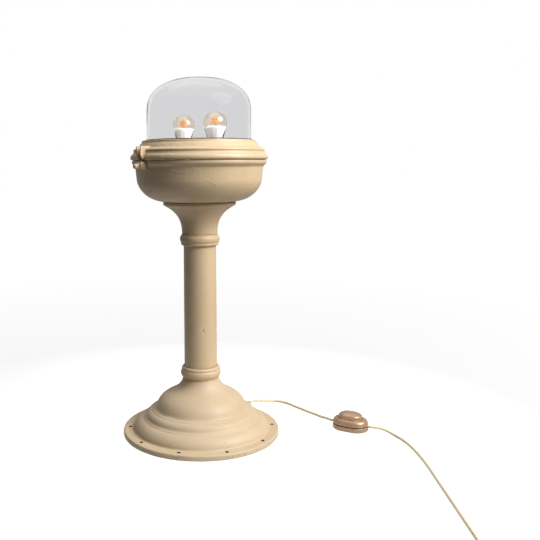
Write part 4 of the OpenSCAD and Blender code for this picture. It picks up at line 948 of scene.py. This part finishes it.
def make_bulb_glass(side, x, r, centre):
    node = "bulb_glass_" + side
    foot = (CAP_R + BULB_FOOT_GAP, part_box(node)[0].z)
    swell = (SWELL_R, foot[1] + SWELL_RISE)
    outer = [foot] + bezier(foot, (0.003, 0), (-0.0015, -0.002), swell, SWELL_STEPS)
    foot = (foot[0] - BULB_SKIN, foot[1] + BULB_SKIN)
    swell = (swell[0] - BULB_SKIN, swell[1])
    inner = [foot] + bezier(foot, (0.003, 0), (-0.0015, -0.0012), swell, SWELL_STEPS)
    profile = outer + ball_line(r, centre) + ball_line(r - BULB_SKIN, centre)[::-1] + inner[::-1]
    made_of("bulb_" + side, revolve(profile, BULB_SEGMENTS, x), [node])


def make_cap(side, x):
    """The threaded cap, with a contact underneath and a lip above the thread."""
    node = "bulb_cap_" + side
    low, high = (corner.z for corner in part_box(node))
    foot, head = low + THREAD_FOOT, high - THREAD_HEAD
    profile = [(0, low), (CAP_CONTACT_R, low), (CAP_R - CAP_TAPER, low + CAP_TAPER_RISE)]
    profile += [(CAP_R, foot + (head - foot) * i / THREAD_STEPS) for i in range(THREAD_STEPS + 1)]
    profile += [(CAP_R + CAP_LIP, high - CAP_LIP_T), (CAP_R + CAP_LIP, high), (0, high)]

    def thread(a, r, z):
        if not foot <= z <= head or r < CAP_R - 1e-6:
            return r
        return r - THREAD_DEPTH / 2 * (1 - math.cos(2 * math.pi * (z - foot) / THREAD_PITCH - a))

    made_of("cap_" + side, revolve(profile, CAP_SEGMENTS, x, thread), [node])


def make_cone(side, x, centre):
    """The white cone: fluted at the side, with a soft rim and a shallow crown."""
    node = "bulb_cone_" + side
    low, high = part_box(node)
    start = (CAP_R - CONE_FOOT, low.z + CONE_FOOT)
    wide = (CONE_WIDE_R, low.z + CONE_WIDE_RISE)
    rim = ((high.x - low.x) / 2, centre - RIM_DROP)
    profile = [(0, low.z), (start[0], low.z), start]
    profile += bezier(start, (0.003, 0.0001), (-0.0012, -0.0013), wide, CONE_WIDE_STEPS)
    profile += [(wide[0] + (rim[0] - wide[0]) * s, wide[1] + (rim[1] - wide[1]) * s)
                for s in CONE_SHARES]
    profile += [(rim[0] + out, rim[1] + up) for out, up in RIM_ROUND]
    crown = profile[-1]
    profile += bezier(crown, (-0.005, 0.0019), (0.009, 0), (0, high.z), CROWN_STEPS)

    def flutes(a, r, z):
        from_foot = min(1, max(0, (z - wide[1]) / FLUTE_FOOT))
        from_head = min(1, max(0, (crown[1] - z) / FLUTE_HEAD))
        return r - FLUTE_DEPTH * (from_foot * from_head) * (1 - math.cos(FLUTES * a)) / 2

    made_of("cone_" + side, revolve(profile, CONE_SEGMENTS, x, flutes), [node])


def make_filament(side, x):
    """Amber loops, widest in the middle, round a steel post."""
    node = "bulb_filament_" + side
    low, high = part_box(node)
    width = (high.x - low.x) / 2 - STRAND_R
    base, top = low.z + LOOP_FOOT, high.z - LOOP_HEAD
    path = []
    for i in range(round(LOOPS * LOOP_STEPS) + 1):
        share = i / (LOOPS * LOOP_STEPS)
        a = 2 * math.pi * LOOPS * share + LOOP_START
        r = width * math.sin(math.pi * (LOOP_SWELL_FROM + LOOP_SWELL_SPAN * share)) ** 0.5
        path.append((x + r * math.cos(a), r * math.sin(a), base + (top - base) * share))
    path = [(x, 0, path[0][2] - LOOP_END)] + path + [(x, 0, path[-1][2] + LOOP_END)]
    points, faces, _ = tube(curve_through(path, STRAND_STEP), STRAND_R, STRAND_SIDES)
    post, post_faces = revolve(
        [(0, low.z), (FILAMENT_POST_R, low.z), (FILAMENT_POST_R, high.z - FILAMENT_POST_TIP),
         (FILAMENT_POST_END_R, high.z), (0, high.z)], FILAMENT_POST_SEGMENTS, x)
    post_faces = [tuple(i + len(points) for i in face) for face in post_faces]
    piece = made_of("filament_" + side, (points + post, faces + post_faces), [node])
    piece.data.materials.append(FINISHES["steel"])
    for face in piece.data.polygons[len(faces):]:
        face.material_index = 1


def make_bulb(side):
    low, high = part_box("bulb_glass_" + side)
    x, r = (low.x + high.x) / 2, (high.x - low.x) / 2
    centre = high.z - r
    make_bulb_glass(side, x, r, centre)
    make_cap(side, x)
    make_cone(side, x, centre)
    make_filament(side, x)


# The scene

make_camera()
cords = make_cords()
make_stage()
add_light("key", right=1.36, away=-0.84, up=1.6, size=1.5, power=56, aim=(0, 0, 0.33))
add_light("top", right=-0.2, away=0.2, up=2.4, size=2.4, power=15, aim=(0, 0, 0.05))
for name, node in frame["nodes"].items():
    node.data.materials.clear()
    node.data.materials.append(FINISHES[SLOT_OF[name]])
for row in CASTINGS:
    casting(*row)
for row in EASED:
    eased(*row)
make_spring()
make_dome()
make_bulb("left")
make_bulb("right")
